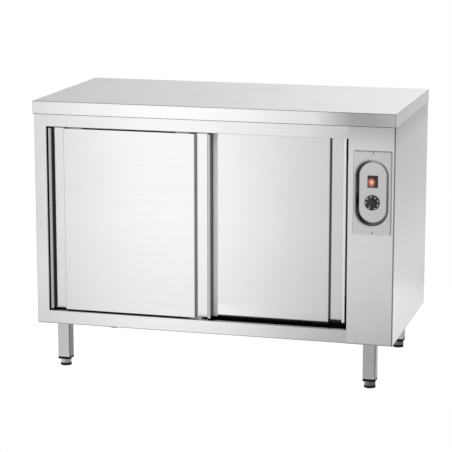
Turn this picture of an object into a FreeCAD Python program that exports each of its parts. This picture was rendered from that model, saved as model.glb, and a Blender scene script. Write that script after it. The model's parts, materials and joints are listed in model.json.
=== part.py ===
import FreeCAD, Part
import math
import os
import re

import Sketcher

# Plate warmer cabinet with two sliding doors, in millimetres.
# Origin: centre of the footprint on the floor. +Z is up, the doors face -Y, +X is to the right.

os.makedirs("parts", exist_ok=True)
doc = FreeCAD.newDocument("PlateWarmerCabinet")
sheet = doc.addObject("Spreadsheet::Sheet", "Sizes")

# Driving sizes, grouped by the piece that they shape.
SIZES = {
    # Whole cabinet
    "overall_width": 1150.0,
    "overall_depth": 600.0,
    "overall_height": 860.0,
    "ground_clearance": 146.0,
    "outer_sheet": 1.2,
    "liner_sheet": 1.0,
    "bend_radius": 2.4,
    "cut_overrun": 2.0,
    "joint_clearance": 0.3,
    "running_clearance": 0.05,
    # Worktop
    "fascia_height": 40.0,
    "fascia_proud": 8.6,
    "side_overhang": 2.0,
    "worktop_flange": 18.0,
    "core_thickness": 16.0,
    "core_clearance": 1.0,
    "batten_width": 60.0,
    "batten_brim": 14.0,
    "batten_spacing": 380.0,
    # Front frame
    "stile_width": 41.0,
    "pillar_width": 143.5,
    "top_rail_height": 41.0,
    "bottom_rail_height": 43.0,
    "jamb_return": 15.0,
    "rail_return": 8.0,
    "rear_flange": 20.0,
    "back_recess": 22.0,
    # Base pan and mats
    "pan_recess": 3.2,
    "pan_flange": 16.0,
    "rear_mat_thickness": 13.8,
    "floor_mat_thickness": 22.0,
    "mat_clearance": 1.0,
    # Door lanes, track and trough
    "door_recess": 9.0,
    "door_gap": 6.0,
    "lane_clearance": 7.0,
    "trough_depth": 19.0,
    "floor_upstand": 3.0,
    "track_wall": 1.5,
    "track_drop": 2.0,
    "track_slot": 10.0,
    "track_inset": 3.0,
    # Sliding doors
    "door_overlap": 110.9,
    "door_thickness": 30.0,
    "door_sheet": 1.0,
    "door_bend_radius": 1.6,
    "door_top_gap": 6.0,
    "door_bottom_gap": 4.5,
    "door_side_gap": 1.0,
    "bumper_gap": 13.8,
    "grip_lip": 11.0,
    "grip_width": 40.0,
    "grip_depth": 17.0,
    "door_rear_return": 12.0,
    "guide_slot_width": 4.2,
    "guide_slot_inset": 18.0,
    "guide_slot_setback": 20.5,
    # Door hangers and rollers
    "hanger_inset": 90.0,
    "hanger_foot_length": 44.0,
    "hanger_foot_width": 22.0,
    "hanger_plate": 3.0,
    "hanger_width": 26.0,
    "hanger_crown": 7.0,
    "roller_radius": 10.0,
    "roller_width": 7.0,
    "roller_chamfer": 0.6,
    "roller_side_gap": 0.5,
    "roller_pin_radius": 2.5,
    "roller_pin_head_radius": 4.0,
    "roller_pin_head": 1.4,
    # Door floor guide
    "guide_length": 40.0,
    "guide_base": 3.0,
    "guide_fin": 3.0,
    "guide_reach": 11.5,
    "guide_margin": 5.0,
    # Rubber door stops
    "bumper_radius": 8.0,
    "bumper_inset": 40.0,
    "left_door_stop": 2.9,
    "right_door_stop": 8.4,
    # Shelf and its supports
    "shelf_rim": 20.0,
    "shelf_front_gap": 10.0,
    "shelf_back_gap": 6.0,
    "shelf_side_gap": 2.0,
    "upright_width": 24.0,
    "upright_depth": 10.0,
    "upright_base": 80.0,
    "upright_top_gap": 93.0,
    "upright_setback": 60.0,
    "notch_height": 4.0,
    "notch_width": 14.0,
    "first_notch": 20.0,
    "last_notch": 50.0,
    "clip_thickness": 2.0,
    "clip_width": 12.0,
    "clip_reach": 12.0,
    "clip_tail": 8.0,
    # Air openings in the duct wall
    "air_slot_length": 60.0,
    "air_slot_height": 6.0,
    "air_slot_pitch": 14.0,
    "air_outlet_offset": 112.0,
    # Heater box, element and fan
    "heater_box_depth": 70.0,
    "heater_box_width": 260.0,
    "heater_box_height": 300.0,
    "heater_centre_y": 20.0,
    "heater_centre_rise": 230.0,
    "element_ring_radius": 95.0,
    "element_tube_radius": 4.0,
    "element_setback": 30.0,
    "element_bend": 12.0,
    "element_tail": 14.0,
    "fan_radius": 72.0,
    "fan_hub_radius": 12.0,
    "fan_disc": 1.2,
    "fan_blade_height": 26.0,
    "fan_blade_thickness": 1.0,
    "fan_blade_root": 46.0,
    "fan_wall_gap": 8.0,
    "fan_shaft_radius": 3.0,
    "fan_shaft_grip": 24.0,
    "shaft_hole_margin": 4.0,
    "motor_radius": 42.0,
    "motor_length": 46.0,
    "motor_flange_radius": 52.0,
    "motor_flange": 3.0,
    "motor_edge": 4.0,
    # Control plate
    "plate_width": 118.5,
    "plate_height": 256.0,
    "plate_proud": 4.5,
    "plate_corner_radius": 5.0,
    "plate_edge_radius": 3.2,
    "plate_sheet": 1.2,
    "plate_inset": 68.25,
    "plate_drop": 202.0,
    "dish_width": 100.6,
    "dish_height": 202.0,
    "dish_depth": 13.0,
    "dish_slope": 8.5,
    "plate_screw_pitch": 245.0,
    "plate_screw_radius": 2.0,
    "plate_screw_head_radius": 3.6,
    "plate_screw_head": 1.6,
    "plate_screw_length": 9.0,
    "plate_screw_clearance": 0.2,
    "plate_screw_slot": 0.9,
    "plate_screw_cross_share": 0.66,
    # Rocker switch
    "switch_rise": 32.8,
    "switch_shift": -0.9,
    "bezel_width": 32.0,
    "bezel_height": 37.0,
    "bezel_proud": 2.0,
    "bezel_corner_radius": 1.5,
    "switch_body_width": 27.0,
    "switch_body_height": 32.0,
    "switch_body_depth": 22.0,
    "rocker_width": 22.0,
    "rocker_height": 27.0,
    "rocker_side_gap": 0.5,
    "rocker_end_gap": 1.6,
    "rocker_thickness": 6.5,
    "rocker_proud": 3.6,
    "rocker_valley": 1.6,
    "rocker_foot_height": 18.0,
    "rocker_well": 13.0,
    "rocker_pivot_depth": 3.0,
    "rocker_pin_radius": 1.2,
    "rocker_pin_reach": 1.5,
    # Thermostat and its knob
    "knob_drop": 31.5,
    "knob_shift": -1.8,
    "knob_radius": 23.5,
    "knob_skirt": 5.0,
    "knob_skirt_slope": 1.5,
    "knob_hub_radius": 14.5,
    "knob_grip_width": 8.0,
    "knob_height": 14.6,
    "knob_floor_gap": 1.0,
    "knob_socket_depth": 8.0,
    "thermostat_size": 38.0,
    "thermostat_depth": 26.0,
    "thermostat_shaft_radius": 3.0,
    "thermostat_shaft_grip": 12.0,
    "capillary_radius": 1.0,
    "capillary_bend": 18.0,
    "capillary_lead": 44.0,
    "capillary_run": 60.0,
    "bulb_radius": 3.0,
    "bulb_length": 70.0,
    # Mains entry
    "gland_inset": 72.0,
    "gland_rise": 70.0,
    "gland_radius": 8.0,
    "gland_bore_radius": 4.5,
    "gland_flange_radius": 13.0,
    "gland_flange": 4.0,
    "gland_cap_radius": 10.0,
    "gland_cap_length": 11.0,
    "gland_cap_nose_radius": 8.0,
    "gland_nut": 5.0,
    "terminal_length": 62.0,
    "terminal_height": 24.0,
    "terminal_depth": 20.0,
    "terminal_rise": 120.0,
    "terminal_inset": 72.0,
    "terminal_screw_radius": 2.6,
    "terminal_screw_depth": 6.0,
    "terminal_screw_pitch": 9.0,
    # Rear panel screws and vents
    "back_screw_radius": 2.0,
    "back_screw_head_radius": 4.0,
    "back_screw_head": 1.8,
    "back_screw_length": 10.0,
    "back_screw_edge": 34.0,
    "back_screw_inset": 30.0,
    "vent_length": 70.0,
    "vent_height": 5.0,
    "vent_pitch": 13.0,
    "vent_drop": 120.0,
    # Legs and adjusting feet
    "leg_inset_x": 76.0,
    "leg_inset_y": 48.0,
    "leg_tube": 40.0,
    "leg_wall": 1.5,
    "leg_corner_radius": 3.0,
    "leg_plate": 74.0,
    "leg_plate_thickness": 3.0,
    "leg_bolt_offset": 37.0,
    "leg_bolt_radius": 3.0,
    "leg_bolt_head_radius": 5.5,
    "leg_bolt_head": 4.0,
    "leg_bolt_end": 7.0,
    "leg_bolt_clearance": 0.2,
    "plug_cap": 8.0,
    "plug_depth": 26.0,
    "plug_clearance": 0.2,
    "foot_height": 22.0,
    "foot_pad_radius": 18.0,
    "foot_pad": 5.5,
    "foot_pad_edge": 0.8,
    "foot_hex_radius": 17.5,
    "foot_stem_radius": 5.0,
    "foot_stem_length": 44.0,
    "foot_neck": 1.2,
}

# Counts and turns, which no length changes.
NOTCH_COUNT = 15
CLIP_NOTCH = 7
AIR_SLOT_COUNT = 9
OUTLET_SLOT_COUNT = 3
VENT_COUNT = 6
BLADE_COUNT = 8
TERMINAL_COUNT = 6
HEX_SIDES = 6
ELEMENT_SWEEP = 300.0
ROCKER_TILT = 8.0
QUARTER_TURN = 90.0

for row, (alias, size) in enumerate(SIZES.items(), 1):
    sheet.set(f"A{row}", alias)
    sheet.set(f"B{row}", str(size))
    sheet.setAlias(f"B{row}", alias)
doc.recompute()

WORD = re.compile(r"[a-z]\w*")
PARTS = []


def bound(text):
    """An expression in plain size names, written for the sheet's cells."""
    return WORD.sub(lambda found: "Sizes." + found.group() if found.group() in SIZES else found.group(),
                    str(text))


def value(text):
    """The present number of an expression in size names."""
    return float(sheet.evalExpression(bound(text)))


def add(*terms):
    return "(" + " + ".join(str(term) for term in terms) + ")"


def less(first, *terms):
    return "(" + str(first) + "".join(" - " + str(term) for term in terms) + ")"


def middle(first, second):
    return f"(({first} + {second}) / 2)"


# Places that many pieces share.
half = "(overall_width / 2 - side_overhang)"
front = "(fascia_proud - overall_depth / 2)"
rear = "(overall_depth / 2)"
carcass_top = "(overall_height - fascia_height)"
inner_half = less(half, "outer_sheet")
inner_front = add(front, "outer_sheet")
roof_low = less(carcass_top, "outer_sheet")
open_left = less("stile_width", half)
open_right = less(half, "pillar_width")
open_top = less(carcass_top, "top_rail_height")
open_bottom = add("ground_clearance", "bottom_rail_height")
chamber_left = less(open_left, "outer_sheet")
chamber_right = add(open_right, "outer_sheet")
lane_depth = "(door_recess + 2 * door_thickness + door_gap + lane_clearance)"
chamber_front = add(front, lane_depth)
back_face = less(rear, "back_recess")
door_width = f"(({open_right} - ({open_left}) - door_side_gap - bumper_gap + door_overlap) / 2)"
back_inner = less(back_face, "outer_sheet")
chamber_back = less(back_inner, "rear_mat_thickness", "liner_sheet")
pan_low = add("ground_clearance", "pan_recess")
pan_top = add(pan_low, "outer_sheet")
floor_low = less(open_bottom, "floor_upstand", "liner_sheet")
floor_top = less(open_bottom, "floor_upstand")
trough_low = less(open_bottom, "trough_depth")
duct_face = add(chamber_right, "liner_sheet")
plate_x = less(half, "plate_inset")
plate_z = less(carcass_top, "plate_drop")
plate_face = less(front, "plate_proud")
dish_floor = add(plate_face, "dish_depth")
dish_back = add(dish_floor, "plate_sheet")


def keep(item, label):
    """Name a finished sub-part, which is written to parts under its label."""
    item.Label = label
    PARTS.append(item)
    return item


# Primitives and booleans.

def block(name, x0, x1, y0, y1, z0, z1):
    item = doc.addObject("Part::Box", name)
    item.setExpression("Length", bound(less(x1, x0)))
    item.setExpression("Width", bound(less(y1, y0)))
    item.setExpression("Height", bound(less(z1, z0)))
    for axis, low in zip("xyz", (x0, y0, z0)):
        item.setExpression(f"Placement.Base.{axis}", bound(low))
    return item


TURNS = {
    "x": FreeCAD.Rotation(FreeCAD.Vector(0, 1, 0), QUARTER_TURN),
    "y": FreeCAD.Rotation(FreeCAD.Vector(1, 0, 0), -QUARTER_TURN),
    "z": FreeCAD.Rotation(),
}


def stand(item, axis, x, y, z):
    """Turn a round primitive from +Z onto an axis and put its base at a place."""
    item.Placement = FreeCAD.Placement(FreeCAD.Vector(), TURNS[axis])
    for name, place in zip("xyz", (x, y, z)):
        item.setExpression(f"Placement.Base.{name}", bound(place))
    return item


def rod(name, axis, x, y, z, radius, length):
    item = doc.addObject("Part::Cylinder", name)
    item.setExpression("Radius", bound(radius))
    item.setExpression("Height", bound(length))
    return stand(item, axis, x, y, z)


def taper(name, axis, x, y, z, radius_low, radius_high, length):
    item = doc.addObject("Part::Cone", name)
    item.setExpression("Radius1", bound(radius_low))
    item.setExpression("Radius2", bound(radius_high))
    item.setExpression("Height", bound(length))
    return stand(item, axis, x, y, z)


def hexagon(name, axis, x, y, z, radius, length):
    item = doc.addObject("Part::Prism", name)
    item.Polygon = HEX_SIDES
    item.setExpression("Circumradius", bound(radius))
    item.setExpression("Height", bound(length))
    return stand(item, axis, x, y, z)


def fuse(name, *items):
    joined = doc.addObject("Part::MultiFuse", name)
    joined.Shapes = list(items)
    joined.Refine = True
    return joined


def cut(name, base, *tools):
    result = doc.addObject("Part::Cut", name)
    result.Base = base
    result.Tool = tools[0] if len(tools) == 1 else fuse(name + "Tools", *tools)
    return result


def group(name, *items):
    """Separate solids that share one node."""
    bundle = doc.addObject("Part::Compound", name)
    bundle.Links = list(items)
    return bundle


# Sketches.

PLANE_ROLES = {"XY": "XY_Plane", "XZ": "XZ_Plane", "YZ": "YZ_Plane"}


def new_body(name):
    return doc.addObject("PartDesign::Body", name)


def new_sketch(body, plane, level):
    """A sketch on the body's own plane, moved along the row axis across it to level."""
    sketch = body.newObject("Sketcher::SketchObject", body.Name + "Sketch")
    support = next(item for item in body.Origin.OriginFeatures if item.Role == PLANE_ROLES[plane])
    sketch.AttachmentSupport = (support, [""])
    sketch.MapMode = "FlatFace"
    sketch.setExpression("AttachmentOffset.Base.z", bound(f"-({level})" if plane == "XZ" else level))
    return sketch


def pin_point(line, end, place):
    """Ties that hold one point of a line or arc at a place given in size names."""
    return [(Sketcher.Constraint(kind, -1, 1, line, end, value(text)), text)
            for kind, text in zip(("DistanceX", "DistanceY"), place)]


def round_tie(arc, radius):
    return [(Sketcher.Constraint("Radius", arc, value(radius)), radius)]


def join_tie(first, first_end, second, second_end):
    return [(Sketcher.Constraint("Coincident", first, first_end, second, second_end), None)]


def hold(sketch, ties):
    """Add all constraints together, then bind those that follow an expression."""
    first = sketch.ConstraintCount
    sketch.addConstraint([tie for tie, _ in ties])
    for number, (_, text) in enumerate(ties, first):
        if text is not None:
            sketch.setExpression(f"Constraints[{number}]", bound(text))


def flat(place):
    return FreeCAD.Vector(value(place[0]), value(place[1]), 0)


def add_line(sketch, start, end):
    return sketch.addGeometry(Part.LineSegment(flat(start), flat(end)), False)


def add_bend(sketch, spot, before, after, radius):
    """The arc that rounds a square corner, and which of its ends comes first on the way."""
    reach = value(radius)
    centre = spot - before * reach + after * reach
    from_came = math.atan2(-after.y, -after.x)
    from_went = math.atan2(before.y, before.x)
    left_turn = before.x * after.y - before.y * after.x > 0
    first, last = (from_came, from_went) if left_turn else (from_went, from_came)
    circle = Part.Circle(centre, FreeCAD.Vector(0, 0, 1), reach)
    arc = sketch.addGeometry(Part.ArcOfCircle(circle, first, last), False)
    return arc, (1, 2) if left_turn else (2, 1)


def bend_places(corner, before, after):
    """Where a rounded corner's arc starts and ends."""
    x, y, radius = corner
    entry = (f"({x} - ({round(before.x)}) * {radius})", f"({y} - ({round(before.y)}) * {radius})")
    leave = (f"({x} + ({round(after.x)}) * {radius})", f"({y} + ({round(after.y)}) * {radius})")
    return entry, leave


def draw_outline(sketch, corners):
    """A closed outline of (x, y) or (x, y, radius) corners. Rounded corners are square ones."""
    count = len(corners)
    spots = [flat(corner) for corner in corners]
    ways = [(spots[index] - spots[index - 1]).normalize() for index in range(count)]
    turns = []
    for index, corner in enumerate(corners):
        after = ways[(index + 1) % count]
        turns.append(bend_places(corner, ways[index], after) if len(corner) > 2 else (corner, corner))
    ties = []
    lines = []
    for index in range(count):
        following = (index + 1) % count
        line = add_line(sketch, turns[index][1], turns[following][0])
        lines.append(line)
        ties += pin_point(line, 1, turns[index][1])
        if len(corners[following]) > 2:
            ties += pin_point(line, 2, turns[following][0])
    for index, corner in enumerate(corners):
        if len(corner) == 2:
            ties += join_tie(lines[index - 1], 2, lines[index], 1)
            continue
        arc, ends = add_bend(sketch, spots[index], ways[index], ways[(index + 1) % count], corner[2])
        ties += join_tie(lines[index - 1], 2, arc, ends[0])
        ties += join_tie(lines[index], 1, arc, ends[1])
        ties += round_tie(arc, corner[2])
    hold(sketch, ties)


def draw_route(sketch, points, radius):
    """An open square route with a round bend of one radius at each corner."""
    spots = [flat(point) for point in points]
    ways = [(there - here).normalize() for here, there in zip(spots, spots[1:])]
    bends = [bend_places(points[index] + (radius,), ways[index - 1], ways[index])
             for index in range(1, len(points) - 1)]
    starts = [points[0]] + [leave for _, leave in bends]
    ends = [entry for entry, _ in bends] + [points[-1]]
    lines = []
    ties = []
    for start, end in zip(starts, ends):
        line = add_line(sketch, start, end)
        lines.append(line)
        ties += pin_point(line, 1, start) + pin_point(line, 2, end)
    for index in range(1, len(points) - 1):
        arc, arc_ends = add_bend(sketch, spots[index], ways[index - 1], ways[index], radius)
        ties += join_tie(lines[index - 1], 2, arc, arc_ends[0])
        ties += join_tie(lines[index], 1, arc, arc_ends[1])
        ties += round_tie(arc, radius)
    hold(sketch, ties)


def draw_circle(sketch, x, y, radius):
    ring = sketch.addGeometry(Part.Circle(flat((x, y)), FreeCAD.Vector(0, 0, 1), value(radius)), False)
    hold(sketch, pin_point(ring, 3, (x, y)) + round_tie(ring, radius))


def draw_stadium(sketch, x, z, width, height):
    """An upright slot with round ends, about a centre."""
    radius = f"({width} / 2)"
    reach = f"(({height} - {width}) / 2)"
    high, low = f"({z} + {reach})", f"({z} - {reach})"
    right, left = f"({x} + {radius})", f"({x} - {radius})"
    ties = []
    arcs = []
    for level, first, start, end in ((high, 0, right, left), (low, math.pi, left, right)):
        circle = Part.Circle(flat((x, level)), FreeCAD.Vector(0, 0, 1), value(radius))
        arc = sketch.addGeometry(Part.ArcOfCircle(circle, first, first + math.pi), False)
        arcs.append(arc)
        ties += pin_point(arc, 1, (start, level)) + pin_point(arc, 2, (end, level))
        ties += pin_point(arc, 3, (x, level))[1:]
    for edge, came, went in ((left, 0, 1), (right, 1, 0)):
        levels = (high, low) if came == 0 else (low, high)
        line = add_line(sketch, (edge, levels[0]), (edge, levels[1]))
        ties += join_tie(line, 1, arcs[came], 2)
        ties += join_tie(line, 2, arcs[went], 1)
    hold(sketch, ties)


# Features on a body.

def pad(body, sketch, plane, length):
    """Material from the sketch towards the row axis' positive side."""
    feature = body.newObject("PartDesign::Pad", body.Name + "Pad")
    feature.Profile = sketch
    feature.Reversed = plane == "XZ"
    feature.setExpression("Length", bound(length))
    body.Tip = feature
    doc.recompute()
    return feature


def pocket(body, sketch, plane, length):
    """A cut from the sketch towards the row axis' positive side."""
    before = body.Shape.Volume
    feature = body.newObject("PartDesign::Pocket", body.Name + "Pocket")
    feature.Profile = sketch
    feature.Reversed = plane != "XZ"
    feature.setExpression("Length", bound(length))
    body.Tip = feature
    doc.recompute()
    if not body.Shape.Volume < before:
        raise RuntimeError(body.Name + ": a pocket removed nothing")
    return feature


def add_slab(body, plane, corners, low, high):
    sketch = new_sketch(body, plane, low)
    draw_outline(sketch, corners)
    return pad(body, sketch, plane, less(high, low))


def cut_slab(body, plane, corners, low, high):
    sketch = new_sketch(body, plane, low)
    draw_outline(sketch, corners)
    return pocket(body, sketch, plane, less(high, low))


def drill(body, plane, places, radius, low, high):
    sketch = new_sketch(body, plane, low)
    for first, second in places:
        draw_circle(sketch, first, second, radius)
    return pocket(body, sketch, plane, less(high, low))


def repeat(body, feature, direction, pitch, count):
    """A row of copies of a feature along one of the body's own axes."""
    pattern = body.newObject("PartDesign::LinearPattern", body.Name + "Row")
    pattern.Originals = [feature]
    role = {"x": "X_Axis", "y": "Y_Axis", "z": "Z_Axis"}[direction]
    axis = next(item for item in body.Origin.OriginFeatures if item.Role == role)
    pattern.Direction = (axis, [""])
    pattern.Occurrences = count
    pattern.setExpression("Length", bound(f"{pitch} * {count - 1}"))
    body.Tip = pattern
    doc.recompute()
    return pattern


def rectangle(x0, x1, y0, y1, radius=None):
    corners = [(x0, y0), (x1, y0), (x1, y1), (x0, y1)]
    return [corner + (radius,) if radius else corner for corner in corners]


def folded(path, wall, radius, inside):
    """The outline of sheet metal bent along a square path. inside is +1 for metal to its left."""
    spots = [(value(x), value(y)) for x, y in path]
    runs = []
    for here, there in zip(spots, spots[1:]):
        step = (there[0] - here[0], there[1] - here[1])
        reach = math.hypot(*step)
        runs.append((round(step[0] / reach), round(step[1] / reach)))
    outer = []
    inner = []
    for index, (x, y) in enumerate(path):
        came = runs[max(index - 1, 0)]
        went = runs[min(index, len(runs) - 1)]
        sides = [(-run[1] * inside, run[0] * inside) for run in (came, went)]
        corner = 0 < index < len(path) - 1
        shift = [sides[0][axis] + (sides[1][axis] if corner else 0) for axis in (0, 1)]
        moved = (f"({x} + ({shift[0]}) * {wall})", f"({y} + ({shift[1]}) * {wall})")
        if not corner:
            outer.append((x, y))
            inner.append(moved)
            continue
        closes = (came[0] * went[1] - came[1] * went[0]) * inside > 0
        small = f"({radius} - {wall})"
        outer.append((x, y, radius if closes else small))
        inner.append(moved + ((small if closes else radius),))
    return outer + inner[::-1]


def fillet(body, radius, chosen):
    """Round every edge of the body that chosen accepts."""
    base = body.Tip
    names = [f"Edge{number}" for number, edge in enumerate(base.Shape.Edges, 1) if chosen(edge)]
    feature = body.newObject("PartDesign::Fillet", body.Name + "Fillet")
    feature.Base = (base, names)
    feature.setExpression("Radius", bound(radius))
    body.Tip = feature
    doc.recompute()
    return feature


def near(number, text):
    return abs(number - value(text)) < value("joint_clearance") / 2


# Worktop: a tray turned down all round, on a board and three hat battens.

def make_worktop():
    body = new_body("Worktop")
    edge_x = "(overall_width / 2)"
    outline = rectangle(f"(-{edge_x})", edge_x, f"(-{rear})", rear, "bend_radius")
    add_slab(body, "XY", outline, carcass_top, "overall_height")
    fillet(body, "bend_radius", lambda edge: edge.BoundBox.ZLength < value("outer_sheet")
           and near(edge.BoundBox.ZMax, "overall_height"))
    inset_x = less(edge_x, "outer_sheet")
    inset_y = less(rear, "outer_sheet")
    cut_slab(body, "XY", rectangle(f"(-{inset_x})", inset_x, f"(-{inset_y})", inset_y),
             carcass_top, less("overall_height", "outer_sheet"))
    lip_x = less(edge_x, "worktop_flange")
    lip_y = less(rear, "worktop_flange")
    sketch = new_sketch(body, "XY", carcass_top)
    draw_outline(sketch, rectangle(f"(-{inset_x})", inset_x, f"(-{inset_y})", inset_y))
    draw_outline(sketch, rectangle(f"(-{lip_x})", lip_x, f"(-{lip_y})", lip_y))
    pad(body, sketch, "XY", "outer_sheet")
    keep(body, "worktop")

    core_top = less("overall_height", "outer_sheet")
    core_low = less(core_top, "core_thickness")
    core_x = less(inset_x, "core_clearance")
    core_y = less(inset_y, "core_clearance")
    keep(block("Core", f"(-{core_x})", core_x, f"(-{core_y})", core_y, core_low, core_top), "worktop_core")

    battens = []
    for place in (-1, 0, 1):
        hat = new_body("Batten")
        middle_x = f"(({place}) * batten_spacing)"
        crown = f"({middle_x} - batten_width / 2)", f"({middle_x} + batten_width / 2)"
        brim = less(crown[0], "batten_brim"), add(crown[1], "batten_brim")
        path = [(brim[0], carcass_top), (crown[0], carcass_top), (crown[0], core_low),
                (crown[1], core_low), (crown[1], carcass_top), (brim[1], carcass_top)]
        hat_front = add(front, "worktop_flange")
        hat_rear = less(back_face, "worktop_flange")
        add_slab(hat, "XZ", hat_outline(path), hat_front, hat_rear)
        battens.append(hat)
    keep(group("Battens", *battens), "worktop_battens")


def hat_outline(path):
    """A hat section: the brims lie on the lower level, the crown reaches the upper one."""
    (b0, low), (c0, _), (_, high), (c1, _), _, (b1, _) = path
    wall = "outer_sheet"
    return [(b0, low), (add(c0, wall), low), (add(c0, wall), less(high, wall)),
            (less(c1, wall), less(high, wall)), (less(c1, wall), low), (b1, low),
            (b1, add(low, wall)), (c1, add(low, wall)), (c1, high), (c0, high),
            (c0, add(low, wall)), (b0, add(low, wall))]


# Carcass: folded side panels, front rails, roof, base pan and back.

def side_path(sign, front_width):
    """The plan of a side panel: jamb, front face, side, rear flange and its return."""
    outer = f"(({sign}) * {half})"
    jamb = f"(({sign}) * ({half} - {front_width}))"
    flange = f"(({sign}) * ({half} - rear_flange))"
    return [(jamb, add(front, "jamb_return")), (jamb, front), (outer, front),
            (outer, rear), (flange, rear), (flange, back_face)]


def make_side_panels():
    left = new_body("LeftSide")
    add_slab(left, "XY", folded(side_path(-1, "stile_width"), "outer_sheet", "bend_radius", -1),
             "ground_clearance", carcass_top)
    keep(left, "left_side_panel")

    right = new_body("RightSide")
    add_slab(right, "XY", folded(side_path(1, "pillar_width"), "outer_sheet", "bend_radius", 1),
             "ground_clearance", carcass_top)
    sketch = new_sketch(right, "XZ", less(front, "cut_overrun"))
    draw_stadium(sketch, plate_x, plate_z, "dish_width", "dish_height")
    pocket(right, sketch, "XZ", add("cut_overrun", "outer_sheet", "cut_overrun"))
    drill(right, "XZ", plate_screw_places(), add("plate_screw_radius", "plate_screw_clearance"),
          less(front, "cut_overrun"), add(inner_front, "cut_overrun"))
    keep(right, "right_side_panel")


def make_front_rails():
    """The top rail has a return at its foot, the bottom rail one at each edge."""
    inner = add(front, "rail_return")
    top_path = [(inner, open_top), (front, open_top), (front, carcass_top)]
    bottom_path = [(inner, "ground_clearance"), (front, "ground_clearance"), (front, open_bottom),
                   (inner, open_bottom)]
    for label, path in (("top_rail", top_path), ("bottom_rail", bottom_path)):
        rail = new_body(label.title().replace("_", ""))
        add_slab(rail, "YZ", folded(path, "outer_sheet", "bend_radius", -1), open_left, open_right)
        keep(rail, label)


def cut_jamb_notches(body, low, high):
    """Room in a sheet for the returns of the two side panels' front faces."""
    ways = (less(inner_front, "cut_overrun"), add(front, "jamb_return", "joint_clearance"))
    notches = ((less(chamber_left, "joint_clearance"), add(open_left, "joint_clearance")),
               (less(open_right, "joint_clearance"), add(chamber_right, "joint_clearance")))
    for side in notches:
        cut_slab(body, "XY", rectangle(*side, *ways), less(low, "cut_overrun"), add(high, "cut_overrun"))


def make_carcass():
    roof = new_body("Roof")
    add_slab(roof, "XY", rectangle(f"(-{inner_half})", inner_half, add(front, "bend_radius"), back_face),
             roof_low, carcass_top)
    cut_jamb_notches(roof, roof_low, carcass_top)
    keep(roof, "carcass_roof")

    pan = new_body("BasePan")
    rise = add(pan_top, "pan_flange")
    pan_left = f"(-{inner_half})"
    path = [(pan_left, rise), (pan_left, pan_low), (inner_half, pan_low), (inner_half, rise)]
    add_slab(pan, "XZ", folded(path, "outer_sheet", "bend_radius", 1), add(front, "bend_radius"), back_inner)
    cut_jamb_notches(pan, pan_low, rise)
    holes = [spot for _, *leg in leg_places() for spot in leg_bolt_places(*leg)]
    drill(pan, "XY", holes, add("leg_bolt_radius", "leg_bolt_clearance"),
          less(pan_low, "cut_overrun"), add(pan_top, "cut_overrun"))
    keep(pan, "base_pan")

    back = new_body("BackPanel")
    add_slab(back, "XZ", rectangle(f"(-{inner_half})", inner_half, pan_low, roof_low),
             back_inner, back_face)
    through = less(back_inner, "cut_overrun"), add(back_face, "cut_overrun")
    drill(back, "XZ", [(gland_x(), gland_z())], add("gland_radius", "joint_clearance"), *through)
    drill(back, "XZ", back_screw_places(), add("back_screw_radius", "plate_screw_clearance"), *through)
    vent_x = f"({plate_x} - vent_length / 2)", f"({plate_x} + vent_length / 2)"
    vent_z = less(carcass_top, "vent_drop", f"vent_pitch * {VENT_COUNT - 1}")
    vent = rectangle(*vent_x, less(vent_z, "vent_height"), vent_z)
    slot = cut_slab(back, "XZ", vent, *through)
    repeat(back, slot, "z", "vent_pitch", VENT_COUNT)
    keep(back, "back_panel")

    screws = []
    for x, z in back_screw_places():
        head = rod("BackScrewHead", "y", x, back_face, z, "back_screw_head_radius", "back_screw_head")
        shank_start = less(add(back_face, "back_screw_head"), "back_screw_length")
        shank = rod("BackScrewShank", "y", x, shank_start, z, "back_screw_radius", "back_screw_length")
        screws.append(fuse("BackScrew", head, shank))
    keep(group("BackScrews", *screws), "back_panel_screws")


def back_screw_places():
    inset_x = less(half, "rear_flange", "back_screw_inset")
    low = add("ground_clearance", "back_screw_edge")
    high = less(roof_low, "back_screw_edge")
    columns = (f"(-{inset_x})", "0", inset_x)
    return [(x, z) for x in columns for z in (low, high)]


# Heated chamber: five liner sheets and the mats behind them.

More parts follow.
